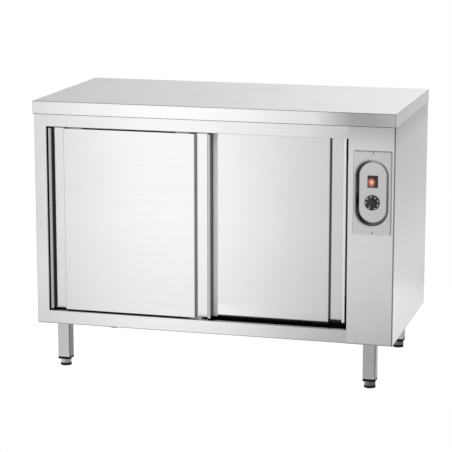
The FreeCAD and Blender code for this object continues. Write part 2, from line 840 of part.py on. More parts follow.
def make_chamber():
    wall_front = add(front, "bend_radius")
    wall_back = add(chamber_back, "liner_sheet")
    keep(block("ChamberLeft", less(chamber_left, "liner_sheet"), chamber_left, wall_front, wall_back,
               pan_top, roof_low), "chamber_left_wall")

    duct = new_body("DuctWall")
    add_slab(duct, "YZ", rectangle(wall_front, wall_back, pan_top, roof_low), chamber_right, duct_face)
    through = less(chamber_right, "cut_overrun"), add(duct_face, "cut_overrun")
    centre_z = heater_z()
    slot_y = "(heater_centre_y - air_slot_length / 2)", "(heater_centre_y + air_slot_length / 2)"
    inlet_z = f"({centre_z} - air_slot_pitch * {AIR_SLOT_COUNT // 2})"
    upper_z = f"({centre_z} + air_outlet_offset)"
    lower_z = f"({centre_z} - air_outlet_offset - air_slot_pitch * {OUTLET_SLOT_COUNT - 1})"
    rows = (inlet_z, AIR_SLOT_COUNT), (upper_z, OUTLET_SLOT_COUNT), (lower_z, OUTLET_SLOT_COUNT)
    for first_z, count in rows:
        outline = rectangle(slot_y[0], slot_y[1], f"({first_z} - air_slot_height / 2)",
                            f"({first_z} + air_slot_height / 2)")
        slot = cut_slab(duct, "YZ", outline, *through)
        repeat(duct, slot, "z", "air_slot_pitch", count)
    keep(duct, "chamber_right_wall")

    span = (chamber_left, chamber_right)
    keep(block("ChamberBack", *span, chamber_back, wall_back, pan_top, roof_low), "chamber_back_wall")
    keep(block("ChamberCeiling", *span, chamber_front, chamber_back, open_top, add(open_top, "liner_sheet")),
         "chamber_ceiling")
    keep(block("ChamberFloor", *span, chamber_front, chamber_back, floor_low, floor_top), "chamber_floor")

    mat_low = add(pan_top, "pan_flange", "mat_clearance")
    jamb_end = add(front, "jamb_return", "mat_clearance")
    left_mat = block("LeftMat", f"(-{inner_half})", less(chamber_left, "liner_sheet"), jamb_end, back_inner,
                     mat_low, roof_low)
    rear_mat = block("RearMat", less(chamber_left, "liner_sheet"), duct_face, wall_back, back_inner,
                     mat_low, roof_low)
    roof_mat = block("RoofMat", *span, chamber_front, chamber_back, add(open_top, "liner_sheet"), roof_low)
    floor_mat = block("FloorMat", *span, chamber_front, chamber_back, less(floor_low, "floor_mat_thickness"),
                      floor_low)
    mats = [cut_screw_ends("RearMatCut", rear_mat), left_mat, roof_mat, floor_mat]
    keep(group("Mats", *mats), "insulation_mats")


def cut_screw_ends(name, mat):
    """The rear mat is pricked by the rear panel's screws."""
    tools = []
    for x, z in back_screw_places():
        start = less(back_face, "back_screw_length")
        tools.append(rod("ScrewRoom", "y", x, start, z, add("back_screw_radius", "joint_clearance"),
                         "back_screw_length"))
    return cut(name, mat, *tools)


# Door lanes: the trough below, the twin track above, the floor guide and the rubber stops.

def door_plan(side):
    """Left, right, front and rear of a door."""
    if side == "left":
        x0 = add(open_left, "door_side_gap")
        y0 = add(front, "door_recess")
        return x0, add(x0, door_width), y0, add(y0, "door_thickness")
    x1 = less(open_right, "bumper_gap")
    y0 = add(front, "door_recess", "door_thickness", "door_gap")
    return less(x1, door_width), x1, y0, add(y0, "door_thickness")


def make_lanes():
    trough = new_body("Trough")
    y0 = add(front, "rail_return")
    inside = add(y0, "liner_sheet"), less(chamber_front, "liner_sheet")
    trough_floor = add(trough_low, "liner_sheet")
    outline = [(y0, open_bottom), (y0, trough_low), (chamber_front, trough_low), (chamber_front, floor_top),
               (inside[1], floor_top), (inside[1], trough_floor), (inside[0], trough_floor),
               (inside[0], open_bottom)]
    add_slab(trough, "YZ", outline, open_left, open_right)
    keep(trough, "door_trough")

    track = new_body("Track")
    low = add(open_top, "track_drop")
    high = roof_low
    ledge = add(low, "track_wall")
    ceiling = less(high, "track_wall")
    track_front = door_plan("left")[2]
    corners = [(track_front, low)]
    for side in ("left", "right"):
        _, _, y0, y1 = door_plan(side)
        slot = f"({middle(y0, y1)} - track_slot / 2)", f"({middle(y0, y1)} + track_slot / 2)"
        cavity = add(y0, "track_wall"), less(y1, "track_wall")
        corners += [(slot[0], low), (slot[0], ledge), (cavity[0], ledge), (cavity[0], ceiling),
                    (cavity[1], ceiling), (cavity[1], ledge), (slot[1], ledge), (slot[1], low)]
    end = door_plan("right")[3]
    corners += [(end, low), (end, high), (track_front, high)]
    add_slab(track, "YZ", corners, add(open_left, "track_inset"), less(open_right, "track_inset"))
    keep(track, "door_track")

    guide_x = middle(door_plan("left")[1], door_plan("right")[0])
    guide_z = add(trough_low, "liner_sheet")
    fin_top = add(open_bottom, "door_bottom_gap", "guide_reach")
    fins = []
    for side in ("left", "right"):
        centre = add(door_plan(side)[2], "guide_slot_setback")
        fins.append(block("GuideFin", less(guide_x, "guide_length / 2"), add(guide_x, "guide_length / 2"),
                          less(centre, "guide_fin / 2"), add(centre, "guide_fin / 2"), guide_z, fin_top))
    base = block("GuideBase", less(guide_x, "guide_length / 2", "guide_margin"),
                 add(guide_x, "guide_length / 2", "guide_margin"),
                 track_front, less(chamber_front, "liner_sheet", "guide_margin / 2"),
                 guide_z, add(guide_z, "guide_base"))
    keep(fuse("Guide", base, *fins), "door_floor_guide")

    heights = (add(open_bottom, "bumper_inset"), less(open_top, "bumper_inset"))
    _, _, left_y0, left_y1 = door_plan("left")
    _, right_x1, right_y0, right_y1 = door_plan("right")
    left_end = less(open_right, "left_door_stop")
    right_end = add(open_left, "right_door_stop")
    right_shut = add(right_x1, "joint_clearance")
    stops = []
    for z in heights:
        stops.append(rod("Stop", "x", left_end, middle(left_y0, left_y1), z, "bumper_radius",
                         less(chamber_right, left_end)))
        stops.append(rod("Stop", "x", right_shut, middle(right_y0, right_y1), z, "bumper_radius",
                         less(chamber_right, right_shut)))
        stops.append(rod("Stop", "x", chamber_left, middle(right_y0, right_y1), z, "bumper_radius",
                         less(right_end, chamber_left)))
    keep(group("Stops", *stops), "door_bumpers")


# Sliding doors: a folded shell with a full height grip at each edge, a liner, a slab and hangers.

def make_door(side):
    x0, x1, y0, y1 = door_plan(side)
    low = add(open_bottom, "door_bottom_gap")
    high = less(open_top, "door_top_gap")
    lip_left = add(x0, "grip_lip")
    lip_right = less(x1, "grip_lip")
    face_left = add(lip_left, "grip_width")
    face_right = less(lip_right, "grip_width")
    grip = add(y0, "grip_depth")
    path = [(add(x0, "door_rear_return"), y1), (x0, y1), (x0, y0), (lip_left, y0), (lip_left, grip),
            (face_left, grip), (face_left, y0), (face_right, y0), (face_right, grip), (lip_right, grip),
            (lip_right, y0), (x1, y0), (x1, y1), (less(x1, "door_rear_return"), y1)]
    shell = new_body(side.title() + "DoorShell")
    add_slab(shell, "XY", folded(path, "door_sheet", "door_bend_radius", 1), low, high)
    rim = folded(path, "door_sheet", "door_bend_radius", 1)[1:len(path) - 1]
    add_slab(shell, "XY", rim, low, add(low, "door_sheet"))
    add_slab(shell, "XY", rim, less(high, "door_sheet"), high)
    slot_y = add(y0, "guide_slot_setback")
    slot = rectangle(add(x0, "guide_slot_inset"), less(x1, "guide_slot_inset"),
                     less(slot_y, "guide_slot_width / 2"), add(slot_y, "guide_slot_width / 2"))
    cut_slab(shell, "XY", slot, less(low, "cut_overrun"), add(low, "door_sheet", "cut_overrun"))
    keep(shell, side + "_door_shell")

    inner = (add(x0, "door_sheet"), less(x1, "door_sheet"))
    inner_low = add(low, "door_sheet")
    inner_high = less(high, "door_sheet")
    liner_y = less(y1, "2 * door_sheet")
    liner_x = (add(x0, "door_bend_radius"), less(x1, "door_bend_radius"))
    keep(block(side.title() + "Liner", *liner_x, liner_y, less(y1, "door_sheet"), inner_low, inner_high),
         side + "_door_liner")
    slab_low = add(low, "guide_reach", "guide_margin")
    keep(block(side.title() + "Slab", *inner, add(grip, "door_sheet"), liner_y, slab_low, inner_high),
         side + "_door_insulation")

    centre = middle(y0, y1)
    roller_z = add(open_top, "track_drop", "track_wall", "joint_clearance", "roller_radius")
    plate_y = f"({centre} - hanger_plate / 2)", f"({centre} + hanger_plate / 2)"
    hangers = []
    for end, x in (("left", add(x0, "hanger_inset")), ("right", less(x1, "hanger_inset"))):
        foot = block("HangerFoot", less(x, "hanger_foot_length / 2"), add(x, "hanger_foot_length / 2"),
                     less(centre, "hanger_foot_width / 2"), add(centre, "hanger_foot_width / 2"),
                     high, add(high, "hanger_plate"))
        upright = block("HangerPlate", less(x, "hanger_width / 2"), add(x, "hanger_width / 2"), *plate_y,
                        high, add(roller_z, "hanger_crown"))
        pin_length = add("2 * roller_side_gap", "roller_width", "roller_pin_head")
        pin = rod("HangerPin", "y", x, plate_y[1], roller_z, "roller_pin_radius", pin_length)
        head_y = add(plate_y[1], "2 * roller_side_gap", "roller_width")
        head = rod("PinHead", "y", x, head_y, roller_z, "roller_pin_head_radius", "roller_pin_head")
        hangers.append(fuse("Hanger", foot, upright, pin, head))

        wheel_y = add(plate_y[1], "roller_side_gap")
        rim_drop = "roller_chamfer"
        tyre = rod("Tyre", "y", x, add(wheel_y, rim_drop), roller_z, "roller_radius",
                   less("roller_width", "2 * roller_chamfer"))
        sides = [taper("TyreEdge", "y", x, wheel_y, roller_z, less("roller_radius", rim_drop),
                       "roller_radius", rim_drop),
                 taper("TyreEdge", "y", x, less(add(wheel_y, "roller_width"), rim_drop), roller_z,
                       "roller_radius", less("roller_radius", rim_drop), rim_drop)]
        bore = rod("TyreBore", "y", x, less(wheel_y, "cut_overrun"), roller_z,
                   add("roller_pin_radius", "running_clearance"), add("roller_width", "2 * cut_overrun"))
        keep(cut("Roller", fuse("Wheel", tyre, *sides), bore), f"{side}_door_{end}_roller")
    keep(group(side.title() + "Hangers", *hangers), side + "_door_hangers")


# Shelf, its slotted uprights and clips.

def make_shelf():
    upright_z = add(floor_top, "upright_base")
    upright_end = less(open_top, "upright_top_gap")
    notch_z = add(upright_z, "first_notch")
    notch_pitch = f"(({upright_end} - {notch_z} - last_notch) / {NOTCH_COUNT - 1})"
    places_y = (add(chamber_front, "upright_setback"), less(chamber_back, "upright_setback"))
    uprights = []
    clips = []
    clip_z = f"({notch_z} + {notch_pitch} * {CLIP_NOTCH})"
    for wall, sign in ((chamber_left, 1), (chamber_right, -1)):
        web = f"({wall} + ({sign}) * upright_depth)"
        web_back = f"({wall} + ({sign}) * (upright_depth - liner_sheet))"
        for y in places_y:
            edge = f"({y} - upright_width / 2)", f"({y} + upright_width / 2)"
            path = [(wall, edge[0]), (web, edge[0]), (web, edge[1]), (wall, edge[1])]
            upright = new_body("Upright")
            add_slab(upright, "XY", folded(path, "liner_sheet", "door_bend_radius", sign),
                     upright_z, upright_end)
            low, high = (web_back, web) if sign > 0 else (web, web_back)
            notch_span = less(low, "cut_overrun / 2"), add(high, "cut_overrun / 2")
            outline = rectangle(f"({y} - notch_width / 2)", f"({y} + notch_width / 2)",
                                f"({notch_z} - notch_height / 2)", f"({notch_z} + notch_height / 2)")
            slot = cut_slab(upright, "YZ", outline, *notch_span)
            repeat(upright, slot, "z", notch_pitch, NOTCH_COUNT)
            uprights.append(upright)

            clip_back = f"({web_back} - ({sign}) * clip_thickness)"
            tab = ordered(clip_back, f"({web} + ({sign}) * clip_reach)", sign)
            tail = ordered(clip_back, web_back, sign)
            sides = f"({y} - clip_width / 2)", f"({y} + clip_width / 2)"
            level = f"({clip_z} - clip_thickness / 2)", f"({clip_z} + clip_thickness / 2)"
            clips.append(fuse("Clip", block("ClipTab", *tab, *sides, *level),
                              block("ClipTail", *tail, *sides, less(level[0], "clip_tail"), level[1])))
    keep(group("Uprights", *uprights), "shelf_uprights")
    keep(group("Clips", *clips), "shelf_clips")

    shelf = new_body("Shelf")
    low = add(clip_z, "clip_thickness / 2", "joint_clearance")
    high = add(low, "shelf_rim")
    x0 = add(chamber_left, "upright_depth", "shelf_side_gap")
    x1 = less(chamber_right, "upright_depth", "shelf_side_gap")
    y0 = add(chamber_front, "shelf_front_gap")
    y1 = less(chamber_back, "shelf_back_gap")
    add_slab(shelf, "XY", rectangle(x0, x1, y0, y1), low, high)
    fillet(shelf, "door_bend_radius", lambda edge: edge.BoundBox.ZLength < value("outer_sheet")
           and near(edge.BoundBox.ZMax, high))
    cut_slab(shelf, "XY", rectangle(add(x0, "outer_sheet"), less(x1, "outer_sheet"),
                                    add(y0, "outer_sheet"), less(y1, "outer_sheet")),
             low, less(high, "outer_sheet"))
    keep(shelf, "shelf")


def ordered(first, last, sign):
    return (first, last) if sign > 0 else (last, first)


# Control plate with its pressed dish, screws, switch and thermostat.

def plate_screw_places():
    return [(plate_x, f"({plate_z} + ({sign}) * plate_screw_pitch / 2)") for sign in (1, -1)]


def stadium_loft(body, kind, levels):
    """A loft through upright slots: each level is (y, width, height)."""
    before = body.Shape.Volume
    sketches = []
    for y, width, height in levels:
        sketch = new_sketch(body, "XZ", y)
        draw_stadium(sketch, plate_x, plate_z, width, height)
        sketches.append(sketch)
    feature = body.newObject("PartDesign::" + kind, body.Name + "Loft")
    feature.Profile = sketches[0]
    feature.Sections = sketches[1:]
    feature.Ruled = True
    body.Tip = feature
    doc.recompute()
    if body.Shape.Volume == before:
        raise RuntimeError(body.Name + ": a loft changed nothing")
    return feature


def make_control_plate():
    plate = new_body("ControlPlate")
    x0 = less(plate_x, "plate_width / 2")
    x1 = add(plate_x, "plate_width / 2")
    z0 = less(plate_z, "plate_height / 2")
    z1 = add(plate_z, "plate_height / 2")
    add_slab(plate, "XZ", rectangle(x0, x1, z0, z1, "plate_corner_radius"), plate_face, front)
    fillet(plate, "plate_edge_radius", lambda edge: edge.BoundBox.YLength < value("joint_clearance")
           and near(edge.BoundBox.YMax, plate_face))
    shrink = "plate_sheet"
    cut_slab(plate, "XZ", rectangle(add(x0, shrink), less(x1, shrink), add(z0, shrink), less(z1, shrink),
                                    "(plate_corner_radius - plate_sheet)"),
             add(plate_face, "plate_sheet"), add(front, "cut_overrun"))
    floor = "(dish_width - 2 * dish_slope)", "(dish_height - 2 * dish_slope)"
    skin = "2 * plate_sheet"
    stadium_loft(plate, "AdditiveLoft", [
        (add(plate_face, "plate_sheet / 2"), add("dish_width", skin), add("dish_height", skin)),
        (dish_back, add(floor[0], skin), add(floor[1], skin))])
    flare = "(dish_slope * cut_overrun / dish_depth)"
    stadium_loft(plate, "SubtractiveLoft", [
        (less(plate_face, "cut_overrun"), add("dish_width", flare, flare), add("dish_height", flare, flare)),
        (dish_floor, *floor)])
    through = less(plate_face, "cut_overrun"), add(front, "cut_overrun")
    drill(plate, "XZ", plate_screw_places(), add("plate_screw_radius", "plate_screw_clearance"), *through)
    deep = less(dish_floor, "cut_overrun"), add(dish_back, "cut_overrun")
    drill(plate, "XZ", [(knob_x(), knob_z())], add("thermostat_shaft_radius", "plate_screw_clearance"), *deep)
    cut_slab(plate, "XZ", switch_outline("switch_body_width", "switch_body_height"), *deep)
    keep(plate, "control_plate")

    screws = []
    for x, z in plate_screw_places():
        head = rod("PlateScrewHead", "y", x, less(plate_face, "plate_screw_head"), z,
                   "plate_screw_head_radius", "plate_screw_head")
        shank = rod("PlateScrewShank", "y", x, plate_face, z, "plate_screw_radius", "plate_screw_length")
        arm = "(plate_screw_head_radius * plate_screw_cross_share)"
        thin = "(plate_screw_slot / 2)"
        depth = less(plate_face, "plate_screw_head", "cut_overrun"), less(plate_face, "plate_screw_head / 2")
        tools = [block("CrossSlot", less(x, arm), add(x, arm), *depth, less(z, thin), add(z, thin)),
                 block("CrossSlot", less(x, thin), add(x, thin), *depth, less(z, arm), add(z, arm))]
        screws.append(cut("PlateScrew", fuse("PlateScrewBlank", head, shank), *tools))
    keep(group("PlateScrews", *screws), "control_plate_screws")


def switch_centre():
    return add(plate_x, "switch_shift"), add(plate_z, "switch_rise")


def switch_outline(width, height, radius=None):
    x, z = switch_centre()
    return rectangle(f"({x} - {width} / 2)", f"({x} + {width} / 2)",
                     f"({z} - {height} / 2)", f"({z} + {height} / 2)", radius)


def make_switch():
    x, z = switch_centre()
    bezel_face = less(dish_floor, "bezel_proud")
    housing = new_body("SwitchHousing")
    add_slab(housing, "XZ", switch_outline("bezel_width", "bezel_height", "bezel_corner_radius"),
             bezel_face, dish_floor)
    add_slab(housing, "XZ", switch_outline("switch_body_width", "switch_body_height"),
             dish_floor, add(dish_floor, "switch_body_depth"))
    cut_slab(housing, "XZ", switch_outline(add("rocker_width", "2 * rocker_side_gap"),
                                           add("rocker_height", "2 * rocker_end_gap")),
             less(bezel_face, "cut_overrun"), add(bezel_face, "rocker_well"))
    pivot_y = add(bezel_face, "rocker_pivot_depth")
    reach = "(rocker_width / 2 + rocker_pin_reach + joint_clearance)"
    drill(housing, "YZ", [(pivot_y, z)], add("rocker_pin_radius", "running_clearance"),
          less(x, reach), add(x, reach))
    keep(housing, "switch_housing")

    rocker = new_body("Rocker")
    tall = "(rocker_height / 2)"
    shallow = "(rocker_foot_height / 2)"
    crest = "(-rocker_proud - rocker_pivot_depth)"
    valley = "(-rocker_valley - rocker_pivot_depth)"
    shoulder = "(rocker_thickness / 2 - rocker_pivot_depth)"
    foot = "(rocker_thickness - rocker_pivot_depth)"
    corners = [(crest, f"(-{tall})"), (valley, "0"), (crest, tall), (shoulder, tall), (foot, shallow),
               (foot, f"(-{shallow})"), (shoulder, f"(-{tall})")]
    add_slab(rocker, "YZ", corners, "(-rocker_width / 2)", "(rocker_width / 2)")
    pin = new_sketch(rocker, "YZ", "(-rocker_width / 2 - rocker_pin_reach)")
    draw_circle(pin, "0", "0", "rocker_pin_radius")
    pad(rocker, pin, "YZ", "(rocker_width + 2 * rocker_pin_reach)")
    tilt = FreeCAD.Rotation(FreeCAD.Vector(1, 0, 0), ROCKER_TILT)
    rocker.Placement = FreeCAD.Placement(FreeCAD.Vector(), tilt)
    for axis, place in zip("xyz", (x, pivot_y, z)):
        rocker.setExpression(f"Placement.Base.{axis}", bound(place))
    keep(rocker, "switch_rocker")


def knob_x():
    return add(plate_x, "knob_shift")


def knob_z():
    return less(plate_z, "knob_drop")


def make_thermostat():
    x, z = knob_x(), knob_z()
    back = less(dish_floor, "knob_floor_gap")
    face = less(back, "knob_height")
    skirt = less(back, "knob_skirt")
    skirt_disc = taper("KnobSkirt", "y", x, skirt, z, less("knob_radius", "knob_skirt_slope"), "knob_radius",
                       "knob_skirt")
    hub_face = add(face, "knob_skirt_slope")
    hub = taper("KnobHub", "y", x, hub_face, z, less("knob_hub_radius", "knob_skirt_slope"),
                "knob_hub_radius", less(skirt, hub_face))
    grip_reach = add("knob_hub_radius", "knob_skirt_slope")
    grip = block("KnobGrip", less(x, "knob_grip_width / 2"), add(x, "knob_grip_width / 2"), face, skirt,
                 less(z, grip_reach), add(z, grip_reach))
    socket = rod("KnobSocket", "y", x, less(back, "knob_socket_depth"), z, "thermostat_shaft_radius",
                 add("knob_socket_depth", "cut_overrun"))
    keep(cut("Knob", fuse("KnobBlank", skirt_disc, hub, grip), socket), "thermostat_knob")

    shaft_start = less(back, "knob_socket_depth")
    shaft_length = add("knob_socket_depth", "knob_floor_gap", "plate_sheet", "thermostat_shaft_grip")
    keep(rod("ThermostatShaft", "y", x, shaft_start, z, "thermostat_shaft_radius", shaft_length),
         "thermostat_shaft")

    rear_y = add(dish_back, "thermostat_depth")
    case = block("ThermostatCase", less(x, "thermostat_size / 2"), add(x, "thermostat_size / 2"), dish_back,
                 rear_y, less(z, "thermostat_size / 2"), add(z, "thermostat_size / 2"))
    bore = rod("ThermostatBore", "y", x, less(dish_back, "cut_overrun"), z,
               add("thermostat_shaft_radius", "running_clearance"),
               add("cut_overrun", "thermostat_shaft_grip", "joint_clearance"))
    keep(cut("Thermostat", case, bore), "thermostat_body")

    probe = new_body("Probe")
    bulb_x = add(duct_face, "bulb_radius")
    turn_y = add(rear_y, "capillary_lead")
    end_y = add(turn_y, "capillary_run")
    spine = new_sketch(probe, "XY", z)
    draw_route(spine, [(x, rear_y), (x, turn_y), (bulb_x, turn_y), (bulb_x, end_y)], "capillary_bend")
    profile = new_sketch(probe, "XZ", rear_y)
    draw_circle(profile, x, z, "capillary_radius")
    pipe = probe.newObject("PartDesign::AdditivePipe", "Capillary")
    pipe.Profile = profile
    pipe.Spine = spine
    probe.Tip = pipe
    doc.recompute()
    bulb = new_sketch(probe, "XZ", end_y)
    draw_circle(bulb, bulb_x, z, "bulb_radius")
    pad(probe, bulb, "XZ", "bulb_length")
    keep(probe, "thermostat_probe")


# Forced air heating behind the duct wall.

def heater_z():
    return add(floor_top, "heater_centre_rise")


def make_heating():
    y, z = "heater_centre_y", heater_z()
    box_end = add(duct_face, "heater_box_depth")
    shaft_room = add("fan_shaft_radius", "shaft_hole_margin")
    edges = (f"({y} - heater_box_width / 2)", f"({y} + heater_box_width / 2)",
             f"({z} - heater_box_height / 2)", f"({z} + heater_box_height / 2)")
    box = new_body("HeaterBox")
    add_slab(box, "YZ", rectangle(*edges, "bend_radius"), duct_face, box_end)
    wall = "outer_sheet"
    cut_slab(box, "YZ", rectangle(add(edges[0], wall), less(edges[1], wall), add(edges[2], wall),
                                  less(edges[3], wall), "(bend_radius - outer_sheet)"),
             less(duct_face, "cut_overrun"), less(box_end, wall))
    through = less(box_end, wall, "cut_overrun"), add(box_end, "cut_overrun")
    drill(box, "YZ", [(y, z)], shaft_room, *through)
    drill(box, "YZ", element_ends(), add("element_tube_radius", "joint_clearance"), *through)
    keep(box, "heater_box")

    make_element(box_end)

    motor_start = add(box_end, "motor_flange")
    flange = rod("MotorFlange", "x", box_end, y, z, "motor_flange_radius", "motor_flange")
    can = rod("MotorCan", "x", motor_start, y, z, "motor_radius", less("motor_length", "motor_edge"))
    cap = taper("MotorCap", "x", less(add(motor_start, "motor_length"), "motor_edge"), y, z, "motor_radius",
                less("motor_radius", "motor_edge"), "motor_edge")
    bore = rod("MotorBore", "x", less(box_end, "cut_overrun"), y, z,
               add("fan_shaft_radius", "running_clearance"),
               add("cut_overrun", "fan_shaft_grip", "joint_clearance"))
    keep(cut("Motor", fuse("MotorBlank", flange, can, cap), bore), "fan_motor")

    fan = new_body("Fan")
    disc_x = less(box_end, "outer_sheet", "fan_wall_gap")
    blade_x = less(disc_x, "fan_blade_height")
    sketch = new_sketch(fan, "YZ", less(disc_x, "fan_disc"))
    draw_circle(sketch, y, z, "fan_radius")
    pad(fan, sketch, "YZ", "fan_disc")
    hub = new_sketch(fan, "YZ", blade_x)
    draw_circle(hub, y, z, "fan_hub_radius")
    pad(fan, hub, "YZ", less(disc_x, blade_x))
    shaft = new_sketch(fan, "YZ", less(disc_x, "fan_disc"))
    draw_circle(shaft, y, z, "fan_shaft_radius")
    pad(fan, shaft, "YZ", add(less(box_end, disc_x), "fan_disc", "fan_shaft_grip"))
    thin = "(fan_blade_thickness / 2)"
    for pair in range(BLADE_COUNT // 2):
        angle = math.radians(2 * QUARTER_TURN / (BLADE_COUNT // 2) * pair)
        for side in (1, -1):
            across, along = math.cos(angle) * side, math.sin(angle) * side
            corners = []
            for reach, offset in (("fan_blade_root", -1), ("fan_radius", -1), ("fan_radius", 1),
                                  ("fan_blade_root", 1)):
                corners.append((f"({y} + ({across:.6f}) * {reach} - ({along * offset:.6f}) * {thin})",
                                f"({z} + ({along:.6f}) * {reach} + ({across * offset:.6f}) * {thin})"))
            add_slab(fan, "YZ", corners, blade_x, less(disc_x, "fan_disc / 2"))
    keep(fan, "fan_impeller")


def element_angles():
    """Where the ring starts and ends, from +Z towards +Y, with its gap at the top."""
    gap = 2 * QUARTER_TURN - ELEMENT_SWEEP / 2
    return math.radians(gap), math.radians(gap + ELEMENT_SWEEP)


def element_ends():
    """Centres of the two tails, across the heater box."""
    places = []
    for angle, sense in zip(element_angles(), (-1, 1)):
        sine, cosine = math.sin(angle), math.cos(angle)
        places.append((f"(heater_centre_y + ({sine:.6f}) * element_ring_radius"
                       f" + ({sense * cosine:.6f}) * element_bend)",
                       f"({heater_z()} + ({cosine:.6f}) * element_ring_radius"
                       f" - ({sense * sine:.6f}) * element_bend)"))
    return places


def make_element(box_end):
    """One tube: a tail in, the open ring and a tail out, with an elbow at each end of the ring."""
    ring_x = value(add(duct_face, "element_setback"))
    centre = FreeCAD.Vector(ring_x, value("heater_centre_y"), value(heater_z()))
    radius, bend = value("element_ring_radius"), value("element_bend")
    out = FreeCAD.Vector(value(add(box_end, "element_tail")) - ring_x - bend, 0, 0)
    inward = FreeCAD.Vector(1, 0, 0)

    def spoke(angle):
        return FreeCAD.Vector(0, math.sin(angle), math.cos(angle))

    def along(angle):
        return FreeCAD.Vector(0, math.cos(angle), -math.sin(angle))

    first, last = element_angles()
    ring = [centre + spoke(angle) * radius for angle in (first, (first + last) / 2, last)]
    slant = math.sqrt(2) / 2
    elbows = []
    for point, way in ((ring[0], along(first) * -1), (ring[2], along(last))):
        hub = point + inward * bend
        elbows.append((hub + way * bend, hub + (way - inward) * bend * slant, point))
    enter, leave = elbows[0], elbows[1][::-1]
    edges = [Part.LineSegment(enter[0] + out, enter[0]), Part.Arc(*enter), Part.Arc(*ring), Part.Arc(*leave),
             Part.LineSegment(leave[2], leave[2] + out)]
    path = Part.Wire([edge.toShape() for edge in edges])
    mouth = Part.Circle(enter[0] + out, inward, value("element_tube_radius")).toShape()
    tube = path.makePipeShell([Part.Wire([mouth])], True, False)
    item = doc.addObject("Part::Feature", "Element")
    item.Shape = tube
    item.Placement = FreeCAD.Placement()
    keep(item, "heating_element")


# Mains entry.

def gland_x():
    return less(half, "gland_inset")


def gland_z():
    return add("ground_clearance", "gland_rise")


def make_mains_entry():
    x, z = gland_x(), gland_z()
    barrel = rod("GlandBarrel", "y", x, less(back_inner, "gland_nut"), z, "gland_radius",
                 add("gland_nut", "outer_sheet", "gland_flange"))
    flange = hexagon("GlandFlange", "y", x, back_face, z, "gland_flange_radius", "gland_flange")
    cap = taper("GlandCap", "y", x, add(back_face, "gland_flange"), z, "gland_cap_radius",
                "gland_cap_nose_radius", "gland_cap_length")
    nut = hexagon("GlandNut", "y", x, less(back_inner, "gland_nut"), z, "gland_flange_radius", "gland_nut")
    bore = rod("GlandBore", "y", x, less(back_inner, "gland_nut", "cut_overrun"), z, "gland_bore_radius",
               add("gland_nut", "outer_sheet", "gland_flange", "gland_cap_length", "2 * cut_overrun"))
    keep(cut("Gland", fuse("GlandBlank", barrel, flange, cap, nut), bore), "cable_gland")

    tx = less(half, "terminal_inset")
    tz = add("ground_clearance", "terminal_rise")
    case = block("TerminalCase", less(tx, "terminal_length / 2"), add(tx, "terminal_length / 2"),
                 less(back_inner, "terminal_depth"), back_inner, tz, add(tz, "terminal_height"))
    wells = []
    for index in range(TERMINAL_COUNT):
        place = f"({tx} + ({index - (TERMINAL_COUNT - 1) / 2}) * terminal_screw_pitch)"
        wells.append(rod("TerminalWell", "y", place, less(back_inner, "terminal_depth", "cut_overrun"),
                         add(tz, "terminal_height / 2"), "terminal_screw_radius",
                         add("cut_overrun", "terminal_screw_depth")))
    keep(cut("Terminal", case, *wells), "terminal_block")


# Legs, plugs, bolts and adjusting feet.

def leg_places():
    """Each leg's name, centre, and the ways along X and Y that point into the cabinet."""
    x = less(half, "leg_inset_x")
    front_y = add(front, "leg_inset_y")
    rear_y = less(rear, "leg_inset_y")
    return [("front_left", f"(-{x})", front_y, 1, 1), ("front_right", x, front_y, -1, 1),
            ("rear_left", f"(-{x})", rear_y, 1, -1), ("rear_right", x, rear_y, -1, -1)]


def leg_bolt_places(x, y, way_x, way_y):
    """Three bolts in the part of the plate that lies inwards of the tube."""
    return [(f"({x} + ({way_x * across}) * leg_bolt_offset)", f"({y} + ({way_y * along}) * leg_bolt_offset)")
            for across, along in ((1, 0), (0, 1), (1, 1))]


def leg_plate_outline(x, y, way_x, way_y):
    """The plate starts at the tube's outer faces and reaches inwards."""
    sides = []
    for place, way in ((x, way_x), (y, way_y)):
        outer = f"({place} - ({way}) * leg_tube / 2)"
        sides += ordered(outer, f"({outer} + ({way}) * leg_plate)", way)
    return rectangle(*sides)


def square(x, y, size, radius=None):
    reach = f"({size} / 2)"
    return rectangle(less(x, reach), add(x, reach), less(y, reach), add(y, reach), radius)


